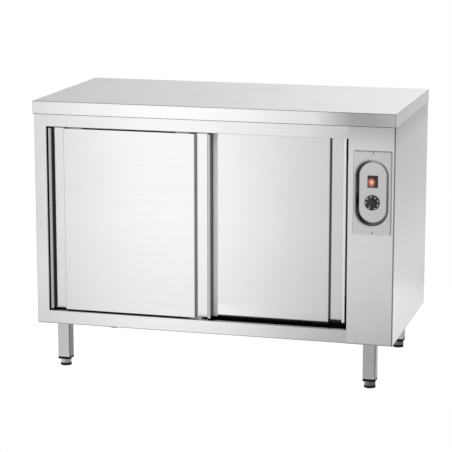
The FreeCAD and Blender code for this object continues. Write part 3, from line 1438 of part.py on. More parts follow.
def make_legs():
    plate_low = less(pan_low, "leg_plate_thickness")
    tube_low = add("foot_height", "plug_cap")
    plugs = []
    bolts = []
    for name, x, y, way_x, way_y in leg_places():
        leg = new_body("Leg")
        add_slab(leg, "XY", square(x, y, "leg_tube", "leg_corner_radius"), tube_low, plate_low)
        inner = "(leg_tube - 2 * leg_wall)"
        inner_radius = "(leg_corner_radius - leg_wall)"
        cut_slab(leg, "XY", square(x, y, inner, inner_radius), less(tube_low, "cut_overrun"), plate_low)
        add_slab(leg, "XY", leg_plate_outline(x, y, way_x, way_y), plate_low, pan_low)
        drill(leg, "XY", leg_bolt_places(x, y, way_x, way_y), add("leg_bolt_radius", "leg_bolt_clearance"),
              less(plate_low, "cut_overrun"), add(pan_low, "cut_overrun"))
        keep(leg, name + "_leg")

        plug = new_body("Plug")
        add_slab(plug, "XY", square(x, y, "leg_tube", "leg_corner_radius"), "foot_height", tube_low)
        add_slab(plug, "XY", square(x, y, f"({inner} - 2 * plug_clearance)", inner_radius),
                 tube_low, add(tube_low, "plug_depth"))
        drill(plug, "XY", [(x, y)], add("foot_stem_radius", "running_clearance"),
              less("foot_height", "cut_overrun"), add(tube_low, "plug_depth", "cut_overrun"))
        plugs.append(plug)

        for bolt_x, bolt_y in leg_bolt_places(x, y, way_x, way_y):
            head = hexagon("BoltHead", "z", bolt_x, bolt_y, less(plate_low, "leg_bolt_head"),
                           "leg_bolt_head_radius", "leg_bolt_head")
            nut = hexagon("BoltNut", "z", bolt_x, bolt_y, pan_top, "leg_bolt_head_radius", "leg_bolt_head")
            shank = rod("BoltShank", "z", bolt_x, bolt_y, plate_low, "leg_bolt_radius",
                        add("leg_plate_thickness", "outer_sheet", "leg_bolt_end"))
            bolts.append(fuse("Bolt", head, nut, shank))

        pad_top = "foot_pad"
        pad_disc = rod("FootPad", "z", x, y, "0", "foot_pad_radius", less(pad_top, "foot_pad_edge"))
        pad_edge = taper("FootEdge", "z", x, y, less(pad_top, "foot_pad_edge"), "foot_pad_radius",
                         less("foot_pad_radius", "foot_pad_edge"), "foot_pad_edge")
        collar = hexagon("FootCollar", "z", x, y, pad_top, "foot_hex_radius",
                         less("foot_height", pad_top, "joint_clearance", "foot_neck"))
        neck = taper("FootNeck", "z", x, y, less("foot_height", "joint_clearance", "foot_neck"),
                     less("foot_hex_radius", "foot_neck", "foot_neck"),
                     less("foot_hex_radius", "foot_neck", "foot_neck", "foot_neck"), "foot_neck")
        stem = rod("FootStem", "z", x, y, pad_top, "foot_stem_radius",
                   add(less("foot_height", pad_top), "foot_stem_length"))
        keep(fuse("Foot", pad_disc, pad_edge, collar, neck, stem), name + "_foot")
    keep(group("Plugs", *plugs), "leg_plugs")
    keep(group("Bolts", *bolts), "leg_bolts")


def write_parts():
    doc.recompute()
    for item in doc.Objects:
        if "Invalid" in item.State or "Error" in item.State:
            raise RuntimeError(f"{item.Label} failed: {item.State}")
    for item in PARTS:
        if item.Shape.isNull() or not item.Shape.isValid():
            raise RuntimeError(f"{item.Label} has no valid shape")
    for item in PARTS:
        item.Shape.exportStep(f"parts/{item.Label}.step")
        box = item.Shape.BoundBox
        print(f"{item.Label}: {len(item.Shape.Solids)} solids, "
              f"x {box.XMin:.1f} to {box.XMax:.1f}, y {box.YMin:.1f} to {box.YMax:.1f}, "
              f"z {box.ZMin:.1f} to {box.ZMax:.1f}")
    print(len(PARTS), "nodes")


make_worktop()
make_side_panels()
make_front_rails()
make_carcass()
make_chamber()
make_lanes()
make_door("left")
make_door("right")
make_shelf()
make_control_plate()
make_switch()
make_thermostat()
make_heating()
make_mains_entry()
make_legs()
write_parts()
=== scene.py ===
"""Looks of a free-standing plate warmer: brushed steel cabinet, sliding doors, dial, lit switch and square legs."""
import json
import math

import bmesh
import bpy
from mathutils import Matrix, Vector


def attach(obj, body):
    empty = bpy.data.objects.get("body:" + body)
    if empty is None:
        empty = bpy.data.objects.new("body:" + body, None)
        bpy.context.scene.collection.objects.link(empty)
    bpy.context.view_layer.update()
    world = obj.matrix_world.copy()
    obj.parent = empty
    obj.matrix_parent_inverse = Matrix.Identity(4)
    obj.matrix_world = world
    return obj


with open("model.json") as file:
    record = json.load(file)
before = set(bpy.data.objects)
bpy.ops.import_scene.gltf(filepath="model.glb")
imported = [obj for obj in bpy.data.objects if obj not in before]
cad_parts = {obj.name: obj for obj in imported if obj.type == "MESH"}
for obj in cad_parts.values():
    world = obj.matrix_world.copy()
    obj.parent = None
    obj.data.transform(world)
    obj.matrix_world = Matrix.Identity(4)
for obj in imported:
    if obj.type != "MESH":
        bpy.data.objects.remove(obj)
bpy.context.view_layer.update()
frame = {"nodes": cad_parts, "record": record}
nodes = frame["nodes"]

# Camera at the photograph's viewing angle.
PHOTO_SIDE = 452
FOCAL_PIXELS = 1893.8
SENSOR = 36.0
CAMERA_PLACE = (1.548, -5.796, 1.6615)
CAMERA_YAW = 15.226
CAMERA_PITCH = -11.578
CAMERA_ROLL = 0.012
CAMERA_REACH = 60.0

# Studio walls that steel mirrors: bearing from the front in degrees, positive to the left, and brightness.
WALLS = (
    (-180, 0.74), (-173, 0.72), (-170, 0.64), (-168, 0.36), (-165, 0.10), (-150, 0.10), (-144, 0.50), (-60, 0.55),
    (-32, 0.36), (-27, 0.26), (-8, 0.26), (-4, 0.34), (6, 0.60), (10, 0.74), (11.1, 0.76), (12.4, 0.80), (13.9, 0.98),
    (15.2, 1.24), (17.4, 1.33), (19.4, 1.18), (20.9, 0.88), (23, 0.70), (28, 0.62), (45, 0.62), (75, 0.70),
    (100, 1.05), (135, 0.95), (150, 0.80), (157, 0.80), (162, 0.95), (171, 1.34), (175, 1.2),
)
# The dim ceiling, paler overhead: height over the horizon as a sine, and brightness. Walls go over into it softly.
CEILING = ((0.0, 0.20), (0.84, 0.20), (0.95, 0.50))
CEILING_START = (0.34, 0.46)
BRIGHTEST = 1.35
# Pale ground behind the object, by how far back and how far under the horizon it lies.
GROUND_LIGHT = 0.92
GROUND_BACK = (0.0, 0.4)
GROUND_DEPTH = (-0.165, -0.225)
# Light on everything that isn't a mirror.
ROOM_LIGHT = 0.80

# White floor with rounded corners. It glows by itself where it's seen, and keeps the object's shadow.
FLOOR_SIZE = (2.30, 1.50, 1.0)
FLOOR_CENTRE = Vector((0.15, 0.40, 0.0))
FLOOR_CORNER = 0.25
FLOOR_COLOUR = (0.86, 0.86, 0.86, 1.0)
FLOOR_GLOW = 0.94
FLOOR_SHADE = 0.16

# One soft lamp over the front left, which no mirror shows.
LAMP_POWER = 60.0
LAMP_SIZE = 2.6
LAMP_PLACE = Vector((-1.2, -1.4, 3.2))
LAMP_AIM = Vector((0.0, 0.0, 0.4))


def make_camera():
    lens = bpy.data.cameras.new("camera")
    lens.sensor_width = SENSOR
    lens.lens = FOCAL_PIXELS * SENSOR / PHOTO_SIDE
    lens.clip_end = CAMERA_REACH
    camera = bpy.data.objects.new("camera", lens)
    bpy.context.scene.collection.objects.link(camera)
    yaw = Matrix.Rotation(math.radians(CAMERA_YAW), 4, "Z")
    pitch = Matrix.Rotation(math.radians(CAMERA_PITCH), 4, "X")
    roll = Matrix.Rotation(math.radians(CAMERA_ROLL), 4, "Y")
    level_view = Matrix.Rotation(math.radians(90), 4, "X")
    camera.matrix_world = Matrix.Translation(CAMERA_PLACE) @ yaw @ pitch @ roll @ level_view
    bpy.context.scene.camera = camera


# Small helpers for node trees.

def feed(tree, socket, value):
    """Links a socket or sets a plain value."""
    if isinstance(value, bpy.types.NodeSocket):
        tree.links.new(value, socket)
    else:
        socket.default_value = value


def maths(tree, operation, *values):
    node = tree.nodes.new("ShaderNodeMath")
    node.operation = operation
    for socket, value in zip(node.inputs, values):
        feed(tree, socket, value)
    return node.outputs[0]


def span(tree, value, first, last, low=0.0, high=1.0):
    """Carries a value from one span to another and holds it at the ends."""
    node = tree.nodes.new("ShaderNodeMapRange")
    labels = ("Value", "From Min", "From Max", "To Min", "To Max")
    for label, number in zip(labels, (value, first, last, low, high)):
        feed(tree, node.inputs[label], number)
    return node.outputs["Result"]


NOISE_REACH = (0.3, 0.7)


def varied(tree, pattern, low, high):
    """Carries a noise pattern from the reach that it mostly keeps to into a span."""
    return span(tree, pattern, *NOISE_REACH, low, high)


def times(tree, *factors):
    result = factors[0]
    for factor in factors[1:]:
        result = maths(tree, "MULTIPLY", result, factor)
    return result


def toned(tree, level, *masks):
    """A factor that is 1 outside a zone and reaches its level where all the masks of the zone are full."""
    return span(tree, times(tree, *masks), 0.0, 1.0, 1.0, level)


def inside(tree, value, low, high, soft=0.0003):
    """A mask that is full between two places."""
    return times(tree, span(tree, value, low - soft, low + soft), span(tree, value, high + soft, high - soft))


def distance(tree, first, second):
    """How far it is straight across two steps at right angles."""
    return maths(tree, "SQRT", maths(tree, "ADD", times(tree, first, first), times(tree, second, second)))


def blend(tree, share, first, second, kind="FLOAT"):
    """Goes from the first to the second as the share goes from 0 to 1."""
    node = tree.nodes.new("ShaderNodeMix")
    node.data_type = kind
    for label, value in (("Factor", share), ("A", first), ("B", second)):
        feed(tree, node.inputs[label], value)
    return node.outputs["Result"]


def blend_colour(tree, share, first, second):
    return blend(tree, share, first, second, "RGBA")


def ramp(tree, value, stops):
    """The colours of a table, as the value goes from 0 to 1."""
    node = tree.nodes.new("ShaderNodeValToRGB")
    elements = node.color_ramp.elements
    for index, (place, colour) in enumerate(stops):
        stop = elements[index] if index < len(elements) else elements.new(place)
        stop.position = place
        stop.color = (*colour, 1.0)
    feed(tree, node.inputs["Fac"], value)
    return node.outputs["Color"]


def studio_ramp(tree, value, stops):
    """Brightness between the stops of a table. A ramp ends at 1, so it holds shares of the brightest."""
    shares = ramp(tree, value, [(place, (level / BRIGHTEST,) * 3) for place, level in stops])
    return maths(tree, "MULTIPLY", shares, BRIGHTEST)


def vectors(tree, operation, first, second):
    node = tree.nodes.new("ShaderNodeVectorMath")
    node.operation = operation
    feed(tree, node.inputs[0], first)
    feed(tree, node.inputs[1], second)
    return node.outputs["Vector"]


def split(tree, place):
    node = tree.nodes.new("ShaderNodeSeparateXYZ")
    feed(tree, node.inputs[0], place)
    return node.outputs


def light_rays(tree):
    """Masks for what the camera sees directly, and for what it sees in a mirror or through glass."""
    rays = tree.nodes.new("ShaderNodeLightPath").outputs
    return rays["Is Camera Ray"], maths(tree, "MAXIMUM", rays["Is Glossy Ray"], rays["Is Transmission Ray"])


def make_world():
    world = bpy.data.worlds.new("studio")
    world.use_nodes = True
    bpy.context.scene.world = world
    tree = world.node_tree
    tree.nodes.clear()
    axis = split(tree, tree.nodes.new("ShaderNodeTexCoord").outputs["Generated"])
    across = maths(tree, "MULTIPLY", axis["X"], -1.0)
    ahead = maths(tree, "MULTIPLY", axis["Y"], -1.0)
    bearing = maths(tree, "MULTIPLY_ADD", maths(tree, "ARCTAN2", across, ahead), 1.0 / math.tau, 0.5)
    walls = studio_ramp(tree, bearing, [(degrees / 360 + 0.5, level) for degrees, level in WALLS])
    ceiling = studio_ramp(tree, axis["Z"], CEILING)
    mirrored = blend(tree, span(tree, axis["Z"], *CEILING_START), walls, ceiling)
    behind = times(tree, span(tree, axis["Y"], *GROUND_BACK), span(tree, axis["Z"], *GROUND_DEPTH))
    mirrored = blend(tree, behind, mirrored, GROUND_LIGHT)
    seen, shiny = light_rays(tree)
    background = tree.nodes.new("ShaderNodeBackground")
    background.inputs["Color"].default_value = (1.0, 1.0, 1.0, 1.0)
    feed(tree, background.inputs["Strength"], blend(tree, seen, blend(tree, shiny, ROOM_LIGHT, mirrored), 1.0))
    output = tree.nodes.new("ShaderNodeOutputWorld")
    feed(tree, output.inputs["Surface"], background.outputs[0])


def make_floor():
    mesh = bpy.data.meshes.new("floor")
    shape = bmesh.new()
    bmesh.ops.create_grid(shape, x_segments=1, y_segments=1, size=0.5,
                          matrix=Matrix.Translation(FLOOR_CENTRE) @ Matrix.Diagonal((*FLOOR_SIZE, 1.0)))
    bmesh.ops.bevel(shape, geom=shape.verts[:], offset=FLOOR_CORNER, segments=12, profile=0.5, affect="VERTICES",
                    material=-1)
    shape.to_mesh(mesh)
    shape.free()
    floor = bpy.data.objects.new("floor", mesh)
    bpy.context.scene.collection.objects.link(floor)
    material = bpy.data.materials.new("white_floor")
    material.use_nodes = True
    tree = material.node_tree
    tree.nodes.clear()
    plain = tree.nodes.new("ShaderNodeBsdfDiffuse")
    plain.inputs["Color"].default_value = FLOOR_COLOUR
    glow = tree.nodes.new("ShaderNodeEmission")
    glow.inputs["Strength"].default_value = FLOOR_GLOW
    shade = tree.nodes.new("ShaderNodeBsdfDiffuse")
    shade.inputs["Color"].default_value = (FLOOR_SHADE, FLOOR_SHADE, FLOOR_SHADE, 1.0)
    white = tree.nodes.new("ShaderNodeAddShader")
    feed(tree, white.inputs[0], glow.outputs[0])
    feed(tree, white.inputs[1], shade.outputs[0])
    mix = tree.nodes.new("ShaderNodeMixShader")
    feed(tree, mix.inputs["Fac"], maths(tree, "MAXIMUM", *light_rays(tree)))
    feed(tree, mix.inputs[1], plain.outputs[0])
    feed(tree, mix.inputs[2], white.outputs[0])
    output = tree.nodes.new("ShaderNodeOutputMaterial")
    feed(tree, output.inputs["Surface"], mix.outputs[0])
    mesh.materials.append(material)


def make_lamp():
    light = bpy.data.lights.new("softbox", "AREA")
    light.shape = "SQUARE"
    light.size = LAMP_SIZE
    light.energy = LAMP_POWER
    lamp = bpy.data.objects.new("softbox", light)
    lamp.visible_glossy = False
    lamp.location = LAMP_PLACE
    lamp.rotation_euler = (LAMP_AIM - LAMP_PLACE).to_track_quat("-Z", "Y").to_euler()
    bpy.context.scene.collection.objects.link(lamp)


bpy.context.scene.view_settings.view_transform = "Standard"
make_camera()
make_world()
make_floor()
make_lamp()


# Patterns that several materials share. Each takes a place on the piece and puts out masks and heights.

def new_group(name, inputs, outputs, colours=()):
    """A node group and the sockets inside it. An input has a label, a kind and its usual value."""
    group = bpy.data.node_groups.new(name, "ShaderNodeTree")
    for label, kind, value in inputs:
        socket = group.interface.new_socket(label, in_out="INPUT", socket_type="NodeSocket" + kind)
        if value is not None:
            socket.default_value = value
    for label in outputs:
        kind = "Color" if label in colours else "Float"
        group.interface.new_socket(label, in_out="OUTPUT", socket_type="NodeSocket" + kind)
    return group, group.nodes.new("NodeGroupInput").outputs, group.nodes.new("NodeGroupOutput").inputs


def noise(tree, place, scale, detail=2.0, roughness=0.5):
    node = tree.nodes.new("ShaderNodeTexNoise")
    for label, value in (("Vector", place), ("Scale", scale), ("Detail", detail), ("Roughness", roughness)):
        feed(tree, node.inputs[label], value)
    return node.outputs["Fac"]


def cells(tree, place, scale, output="Distance"):
    node = tree.nodes.new("ShaderNodeTexVoronoi")
    feed(tree, node.inputs["Vector"], place)
    feed(tree, node.inputs["Scale"], scale)
    return node.outputs[output]


# A sheet's grain: few changes along its length and many across it.
GRAIN_LONG = (12.0, 2200.0, 2200.0)
GRAIN_TALL = (2200.0, 2200.0, 12.0)


def make_brushing():
    """Hair-fine scratches along a grain, wider bands between them, and the cloudiness of a wiped sheet."""
    group, given, result = new_group(
        "brushing", [("Place", "Vector", None), ("Grain", "Vector", GRAIN_LONG), ("Clouds", "Float", 3.0)],
        ["Hairs", "Bands", "Cloud"])
    stretched = vectors(group, "MULTIPLY", given["Place"], given["Grain"])
    feed(group, result["Hairs"], noise(group, stretched, 1.0, 2.0, 0.6))
    feed(group, result["Bands"], noise(group, stretched, 0.16, 1.0))
    feed(group, result["Cloud"], noise(group, given["Place"], given["Clouds"], 2.0))
    return group


def make_smudges():
    """A mask of faint finger and cloth marks here and there."""
    group, given, result = new_group("smudges", [("Place", "Vector", None), ("Size", "Float", 9.0)], ["Mask"])
    broad = noise(group, given["Place"], given["Size"], 3.0, 0.55)
    fine = noise(group, given["Place"], maths(group, "MULTIPLY", given["Size"], 7.0), 2.0)
    feed(group, result["Mask"], times(group, span(group, broad, 0.54, 0.72), varied(group, fine, 0.0, 1.0)))
    return group


def make_moulding():
    """Spark-eroded grain of a moulded plastic, with slow changes of tone from its cooling."""
    group, given, result = new_group("moulding", [("Place", "Vector", None), ("Grain", "Float", 1800.0)],
                                     ["Height", "Tone"])
    feed(group, result["Height"], noise(group, given["Place"], given["Grain"], 2.0))
    feed(group, result["Tone"], noise(group, given["Place"], 60.0, 2.0))
    return group


def make_spangle():
    """Zinc crystals of hot dipped sheet, each one a little lighter or darker, and the fine frost on them."""
    group, given, result = new_group("spangle", [("Place", "Vector", None), ("Size", "Float", 90.0)],
                                     ["Crystal", "Frost"])
    feed(group, result["Crystal"], cells(group, given["Place"], given["Size"], output="Color"))
    feed(group, result["Frost"], noise(group, given["Place"], maths(group, "MULTIPLY", given["Size"], 9.0), 3.0))
    return group


def make_fibres():
    """Tangled fibres or chips that lie mostly along one plane."""
    group, given, result = new_group(
        "fibres", [("Place", "Vector", None), ("Stretch", "Vector", (90.0, 90.0, 400.0))], ["Strands", "Lumps"])
    stretched = vectors(group, "MULTIPLY", given["Place"], given["Stretch"])
    feed(group, result["Strands"], noise(group, stretched, 1.0, 5.0, 0.7))
    feed(group, result["Lumps"], cells(group, stretched, 0.35))
    return group


BRUSHING = make_brushing()
SMUDGES = make_smudges()
MOULDING = make_moulding()
SPANGLE = make_spangle()
FIBRES = make_fibres()


def use(tree, group, **values):
    """Places a shared pattern with its own values."""
    node = tree.nodes.new("ShaderNodeGroup")
    node.node_tree = group
    for label, value in values.items():
        feed(tree, node.inputs[label], value)
    return node.outputs


def new_material(name, metallic, roughness):
    """A material with its node tree, its shader's sockets and the places on the piece."""
    material = bpy.data.materials.new(name)
    material.use_nodes = True
    tree = material.node_tree
    shader = tree.nodes["Principled BSDF"]
    shader.inputs["Metallic"].default_value = metallic
    shader.inputs["Roughness"].default_value = roughness
    return material, tree, shader.inputs, tree.nodes.new("ShaderNodeTexCoord").outputs["Object"]


def shaded(tree, colour, factor):
    """A colour times a factor that changes over the surface."""
    node = tree.nodes.new("ShaderNodeVectorMath")
    node.operation = "SCALE"
    feed(tree, node.inputs[0], colour)
    feed(tree, node.inputs["Scale"], factor)
    return node.outputs[0]


def bump(tree, height, distance, strength=1.0):
    node = tree.nodes.new("ShaderNodeBump")
    node.inputs["Strength"].default_value = strength
    node.inputs["Distance"].default_value = distance
    feed(tree, node.inputs["Height"], height)
    return node.outputs["Normal"]


# Steel sheet. Its grain spreads light across itself, in the direction that these tangents give. What a studio's
# # reflections do to single edges and faces is painted on as painted shade and painted highlights, by the functions
# that
# # each material is given as its marks.
SPREAD_UP = (0.0, 0.03, 1.0)
SPREAD_ASIDE = (1.0, 0.3, 0.0)
# The reach of the finest scratches, which vary more than other noise.
HAIR_REACH = (0.25, 0.75)


def sheet_steel(name, colour, roughness, anisotropy, grain=GRAIN_LONG, spread=SPREAD_UP, clouds=3.0,
                cloud_depth=0.02, marks=None, wear=None, matt_strip=None):
    """Brushed sheet. From the place on the piece, marks puts out painted shade and painted highlights as a further
    factor for colour, wear a further factor for roughness, and the last argument a mask for a matt strip over the
    metal."""
    material, tree, shader, place = new_material(name, 1.0, roughness)
    brushed = use(tree, BRUSHING, Place=place, Grain=grain, Clouds=clouds)
    smudge = use(tree, SMUDGES, Place=place)["Mask"]
    hairs = span(tree, brushed["Hairs"], *HAIR_REACH, 0.955, 1.045)
    bands = varied(tree, brushed["Bands"], 0.99, 1.01)
    cloud = varied(tree, brushed["Cloud"], 1.0 - cloud_depth, 1.0 + cloud_depth)
    factor = times(tree, hairs, bands, cloud, toned(tree, 0.985, smudge))
    if marks:
        factor = times(tree, factor, marks(tree, place))
    feed(tree, shader["Base Color"], shaded(tree, colour, factor))
    rough = times(tree, span(tree, brushed["Hairs"], *HAIR_REACH, roughness * 0.88, roughness * 1.12),
                  toned(tree, 1.10, smudge))
    if wear:
        rough = times(tree, rough, wear(tree, place))
    feed(tree, shader["Roughness"], rough)
    if matt_strip:
        feed(tree, shader["Metallic"], toned(tree, 0.0, matt_strip(tree, place)))
    feed(tree, shader["Normal"], bump(tree, brushed["Hairs"], 0.000004, 0.5))
    shader["Anisotropic"].default_value = anisotropy
    tangent = tree.nodes.new("ShaderNodeCombineXYZ")
    for socket, value in zip(tangent.inputs, spread):
        socket.default_value = value
    feed(tree, shader["Tangent"], tangent.outputs[0])
    return material


# Carcass: the upright line of its front bend, where its front, right side and foot lie, and the edges of the door
# opening.
BEND_X = 0.5722
BEND_Y = -0.2906
BEND_REACH = 0.0042
CARCASS_FRONT = -0.2914
CARCASS_RIGHT = 0.5730
CARCASS_FOOT = 0.1460
OPENING_LEFT = -0.5320
OPENING_RIGHT = 0.4295
OPENING_FOOT = 0.1890
OPENING_HEAD = 0.7790
JOINT_BLUR = 0.0004


def carcass_painted_light(tree, place):
    """Painted shade and a painted highlight on the carcass: painted shade on the front bend, towards the floor and
    under the worktop, dark painted shade on the left stile's edge and at the hem, and a painted highlight on the
    pillar's edge beside the doors."""
    axis = split(tree, place)
    from_bend = distance(tree, maths(tree, "SUBTRACT", axis["X"], BEND_X), maths(tree, "SUBTRACT", axis["Y"], BEND_Y))
    bend = toned(tree, 0.42, span(tree, from_bend, BEND_REACH, BEND_REACH / 2))
    foot = span(tree, axis["Z"], 0.16, 0.30, 0.90, 1.0)
    right_foot = toned(tree, 0.84, span(tree, axis["X"], -0.1, 0.42), span(tree, axis["Z"], 0.42, 0.14))
    bottom_rail = toned(tree, 0.86, inside(tree, axis["X"], 0.05, OPENING_RIGHT, JOINT_BLUR),
                        span(tree, axis["X"], 0.05, 0.40),
                        span(tree, axis["Z"], OPENING_FOOT + 0.011, OPENING_FOOT + 0.001))
    top_rail = toned(tree, 0.87, inside(tree, axis["X"], 0.30, OPENING_RIGHT, JOINT_BLUR),
                     span(tree, axis["X"], 0.30, 0.42),
                     span(tree, axis["Z"], OPENING_HEAD - 0.002, OPENING_HEAD))
    pillar_head = toned(tree, 0.72, span(tree, axis["X"], OPENING_RIGHT - 0.0055, OPENING_RIGHT + 0.0045),
                        span(tree, axis["Z"], 0.745, 0.815))
    flank = toned(tree, 0.88, span(tree, axis["X"], CARCASS_RIGHT - 0.00020, CARCASS_RIGHT - 0.00005),
                  span(tree, axis["Z"], 0.36, 0.20))
    stile = toned(tree, 0.03, inside(tree, axis["X"], OPENING_LEFT - 0.0016, OPENING_LEFT + 0.0004),
                  span(tree, axis["Y"], CARCASS_FRONT + 0.0004, CARCASS_FRONT + 0.0014))
    hem = toned(tree, 0.50, span(tree, axis["Z"], CARCASS_FOOT + 0.0036, CARCASS_FOOT + 0.0024))
    pillar_edge = toned(tree, 1.2, inside(tree, axis["X"], OPENING_RIGHT - 0.0005, OPENING_RIGHT + 0.0027),
                        inside(tree, axis["Z"], OPENING_FOOT + 0.001, OPENING_HEAD - 0.001, 0.004))
    return times(tree, bend, foot, right_foot, bottom_rail, top_rail, pillar_head, flank, stile, hem, pillar_edge)


# The worktop's front face.
WORKTOP_FRONT = -0.3000


def worktop_painted_shade(tree, place):
    """Painted shade on the front edge of the worktop at its right end."""
    axis = split(tree, place)
    edge = span(tree, axis["Y"], WORKTOP_FRONT + 0.0015, WORKTOP_FRONT + 0.0005)
    return toned(tree, 0.55, edge, span(tree, axis["X"], 0.33, 0.44), span(tree, axis["X"], 0.60, 0.50, 0.58, 1.0))


# The right faces of the left and the right tubes.
LEG_SIDES = (-0.477, 0.517)


def leg_painted_shade(tree, place):
    """Painted shade on the tubes' right faces, much darker than their fronts, and a little painted shade on the right
    pair.
    """
    axis = split(tree, place)
    faces = [toned(tree, 0.21, inside(tree, axis["X"], side - 0.0012, side + 0.0004, 0.0004)) for side in LEG_SIDES]
    return times(tree, span(tree, axis["X"], -0.3, 0.3, 1.0, 0.78), *faces)


# Control plate: its middle, its rounded right and top borders, and the oblong dish. The dish has half a circle at each
# end of a straight part. Its wall lies between the flat's radius and its reach.
PLATE_MIDDLE = (0.50475, 0.0, 0.618)
PLATE_RIGHT = 0.5640
PLATE_TOP = 0.7460
DISH_REACH = 0.0503
DISH_FLAT = 0.0418
DISH_STRAIGHT = 0.0507


def plate_painted_shade(tree, place):
    """Shade painted in the pressed wall of the dish, most at its left, and along the plate's rounded border."""
    axis = split(tree, vectors(tree, "SUBTRACT", place, PLATE_MIDDLE))
    clamped = maths(tree, "MAXIMUM", maths(tree, "MINIMUM", axis["Z"], DISH_STRAIGHT), -DISH_STRAIGHT)
    rise = maths(tree, "SUBTRACT", axis["Z"], clamped)
    reach = distance(tree, axis["X"], rise)
    lean = maths(tree, "DIVIDE", axis["X"], reach)
    left = span(tree, lean, 0.10, -0.75)
    low = span(tree, maths(tree, "DIVIDE", rise, reach), 0.0, -0.7)
    wall = inside(tree, reach, DISH_FLAT + 0.0004, DISH_REACH - 0.0002, 0.0006)
    dark = maths(tree, "MAXIMUM", left, times(tree, low, 0.12))
    shade = span(tree, reach, DISH_REACH + 0.001, DISH_FLAT + 0.003, 0.40, 1.0)
    left_wall = toned(tree, 0.10, wall, dark, shade)
    right_wall = toned(tree, 0.42, wall, span(tree, lean, 0.3, 0.8))
    roll = toned(tree, 0.45, span(tree, reach, DISH_REACH + 0.0080, DISH_REACH),
                 span(tree, reach, DISH_REACH - 0.0020, DISH_REACH), left)
    rim = toned(tree, 0.50, inside(tree, reach, DISH_FLAT - 0.0010, DISH_FLAT + 0.0008, 0.0007))
    outer = split(tree, place)
    top = span(tree, outer["Z"], PLATE_TOP - 0.0065, PLATE_TOP - 0.0020)
    right = span(tree, outer["X"], PLATE_RIGHT - 0.0065, PLATE_RIGHT - 0.0020)
    border = toned(tree, 0.92, maths(tree, "MAXIMUM", top, right))
    return times(tree, left_wall, right_wall, roll, rim, border)


# Doors: their front faces and the plane between them, each lip beside a finger channel with its painted tone, shade on
# # the front door's two lips and a highlight on the rear door's, the channels' walls that face the camera and the
# doors'
# # right edges, which get painted shade, and the matt strip beside the front one.
FRONT_DOOR = -0.2824
REAR_DOOR = -0.2464
BETWEEN_DOORS = -0.2610
LIPS = ((-0.5315, -0.5198, 0.62), (-0.0134, -0.0019, 0.60), (0.4045, 0.4163, 1.22))
FRONT_CHANNEL_WALL = (-0.5212, -0.5192)
REAR_CHANNEL_WALL = (0.3635, 0.3657)
FRONT_DOOR_EDGE = (-0.0026, -0.0018)
REAR_DOOR_EDGE = (0.4152, 0.4160)
EDGE_BLUR = 0.0002
MATT_STRIP = (-0.0060, 0.0106)
MATT_STRIP_BLUR = 0.0010


def rear_door_mask(tree, axis):
    """A mask that is full on the rear door alone."""
    return span(tree, axis["Y"], BETWEEN_DOORS - 0.001, BETWEEN_DOORS + 0.001)


def door_matt_strip(tree, place):
    """A matt strip with a painted highlight on the rear door beside the front door's edge, which keeps the dark
    reflection there narrow.
    """
    axis = split(tree, place)
    return times(tree, rear_door_mask(tree, axis), inside(tree, axis["X"], *MATT_STRIP, MATT_STRIP_BLUR))


def door_wear(tree, place):
    """The rear door's face is smoother at its foot, and matt under the matt strip."""
    axis = split(tree, place)
    return times(tree, toned(tree, 0.25, rear_door_mask(tree, axis), span(tree, axis["Z"], 0.240, 0.200)),
                 toned(tree, 3.0, door_matt_strip(tree, place)))


def door_painted_light(tree, place):
    """Painted shade and painted highlights on the doors: painted shade on the front door's lips and a painted
    highlight on the rear door's lip, dark painted shade on walls of finger channels and cut edges, a painted highlight
    on the matt strip, and painted shade on the faces towards the right and the floor."""
    axis = split(tree, place)
    lips = [toned(tree, tone, inside(tree, axis["X"], low, high)) for low, high, tone in LIPS]
    front_wall = toned(tree, 0.025, inside(tree, axis["X"], *FRONT_CHANNEL_WALL),
                       span(tree, axis["Y"], FRONT_DOOR + 0.0012, FRONT_DOOR + 0.0024))
    rear_wall = toned(tree, 0.30, inside(tree, axis["X"], *REAR_CHANNEL_WALL),
                      span(tree, axis["Y"], REAR_DOOR + 0.0012, REAR_DOOR + 0.0024))
    front_edge = toned(tree, 0.01, span(tree, axis["Y"], REAR_DOOR - 0.0001, REAR_DOOR - 0.0011),
                       inside(tree, axis["X"], *FRONT_DOOR_EDGE, EDGE_BLUR),
                       span(tree, axis["Y"], FRONT_DOOR + 0.0002, FRONT_DOOR + 0.0012))
    rear_edge = toned(tree, 0.15, inside(tree, axis["X"], *REAR_DOOR_EDGE, EDGE_BLUR),
                      span(tree, axis["Y"], REAR_DOOR + 0.0002, REAR_DOOR + 0.0012))
    # Painted highlight on the matt strip beside the front door's edge.
    matt_strip = toned(tree, 1.25, door_matt_strip(tree, place))
    across = span(tree, axis["X"], 0.05, 0.34, 1.0, 0.925)
    foot = span(tree, axis["Z"], 0.2, 0.5, 0.89, 1.0)
    return times(tree, *lips, matt_strip, front_edge, front_wall, rear_wall, rear_edge, across, foot)


# Where the painted shade of the door trough starts, and where it is full.
TROUGH_DARK = (-0.250, -0.244)


def trough_painted_shade(tree, place):
    """Painted shade in the trough behind the door fronts."""
    return span(tree, split(tree, place)["Y"], *TROUGH_DARK, 1.0, 0.05)


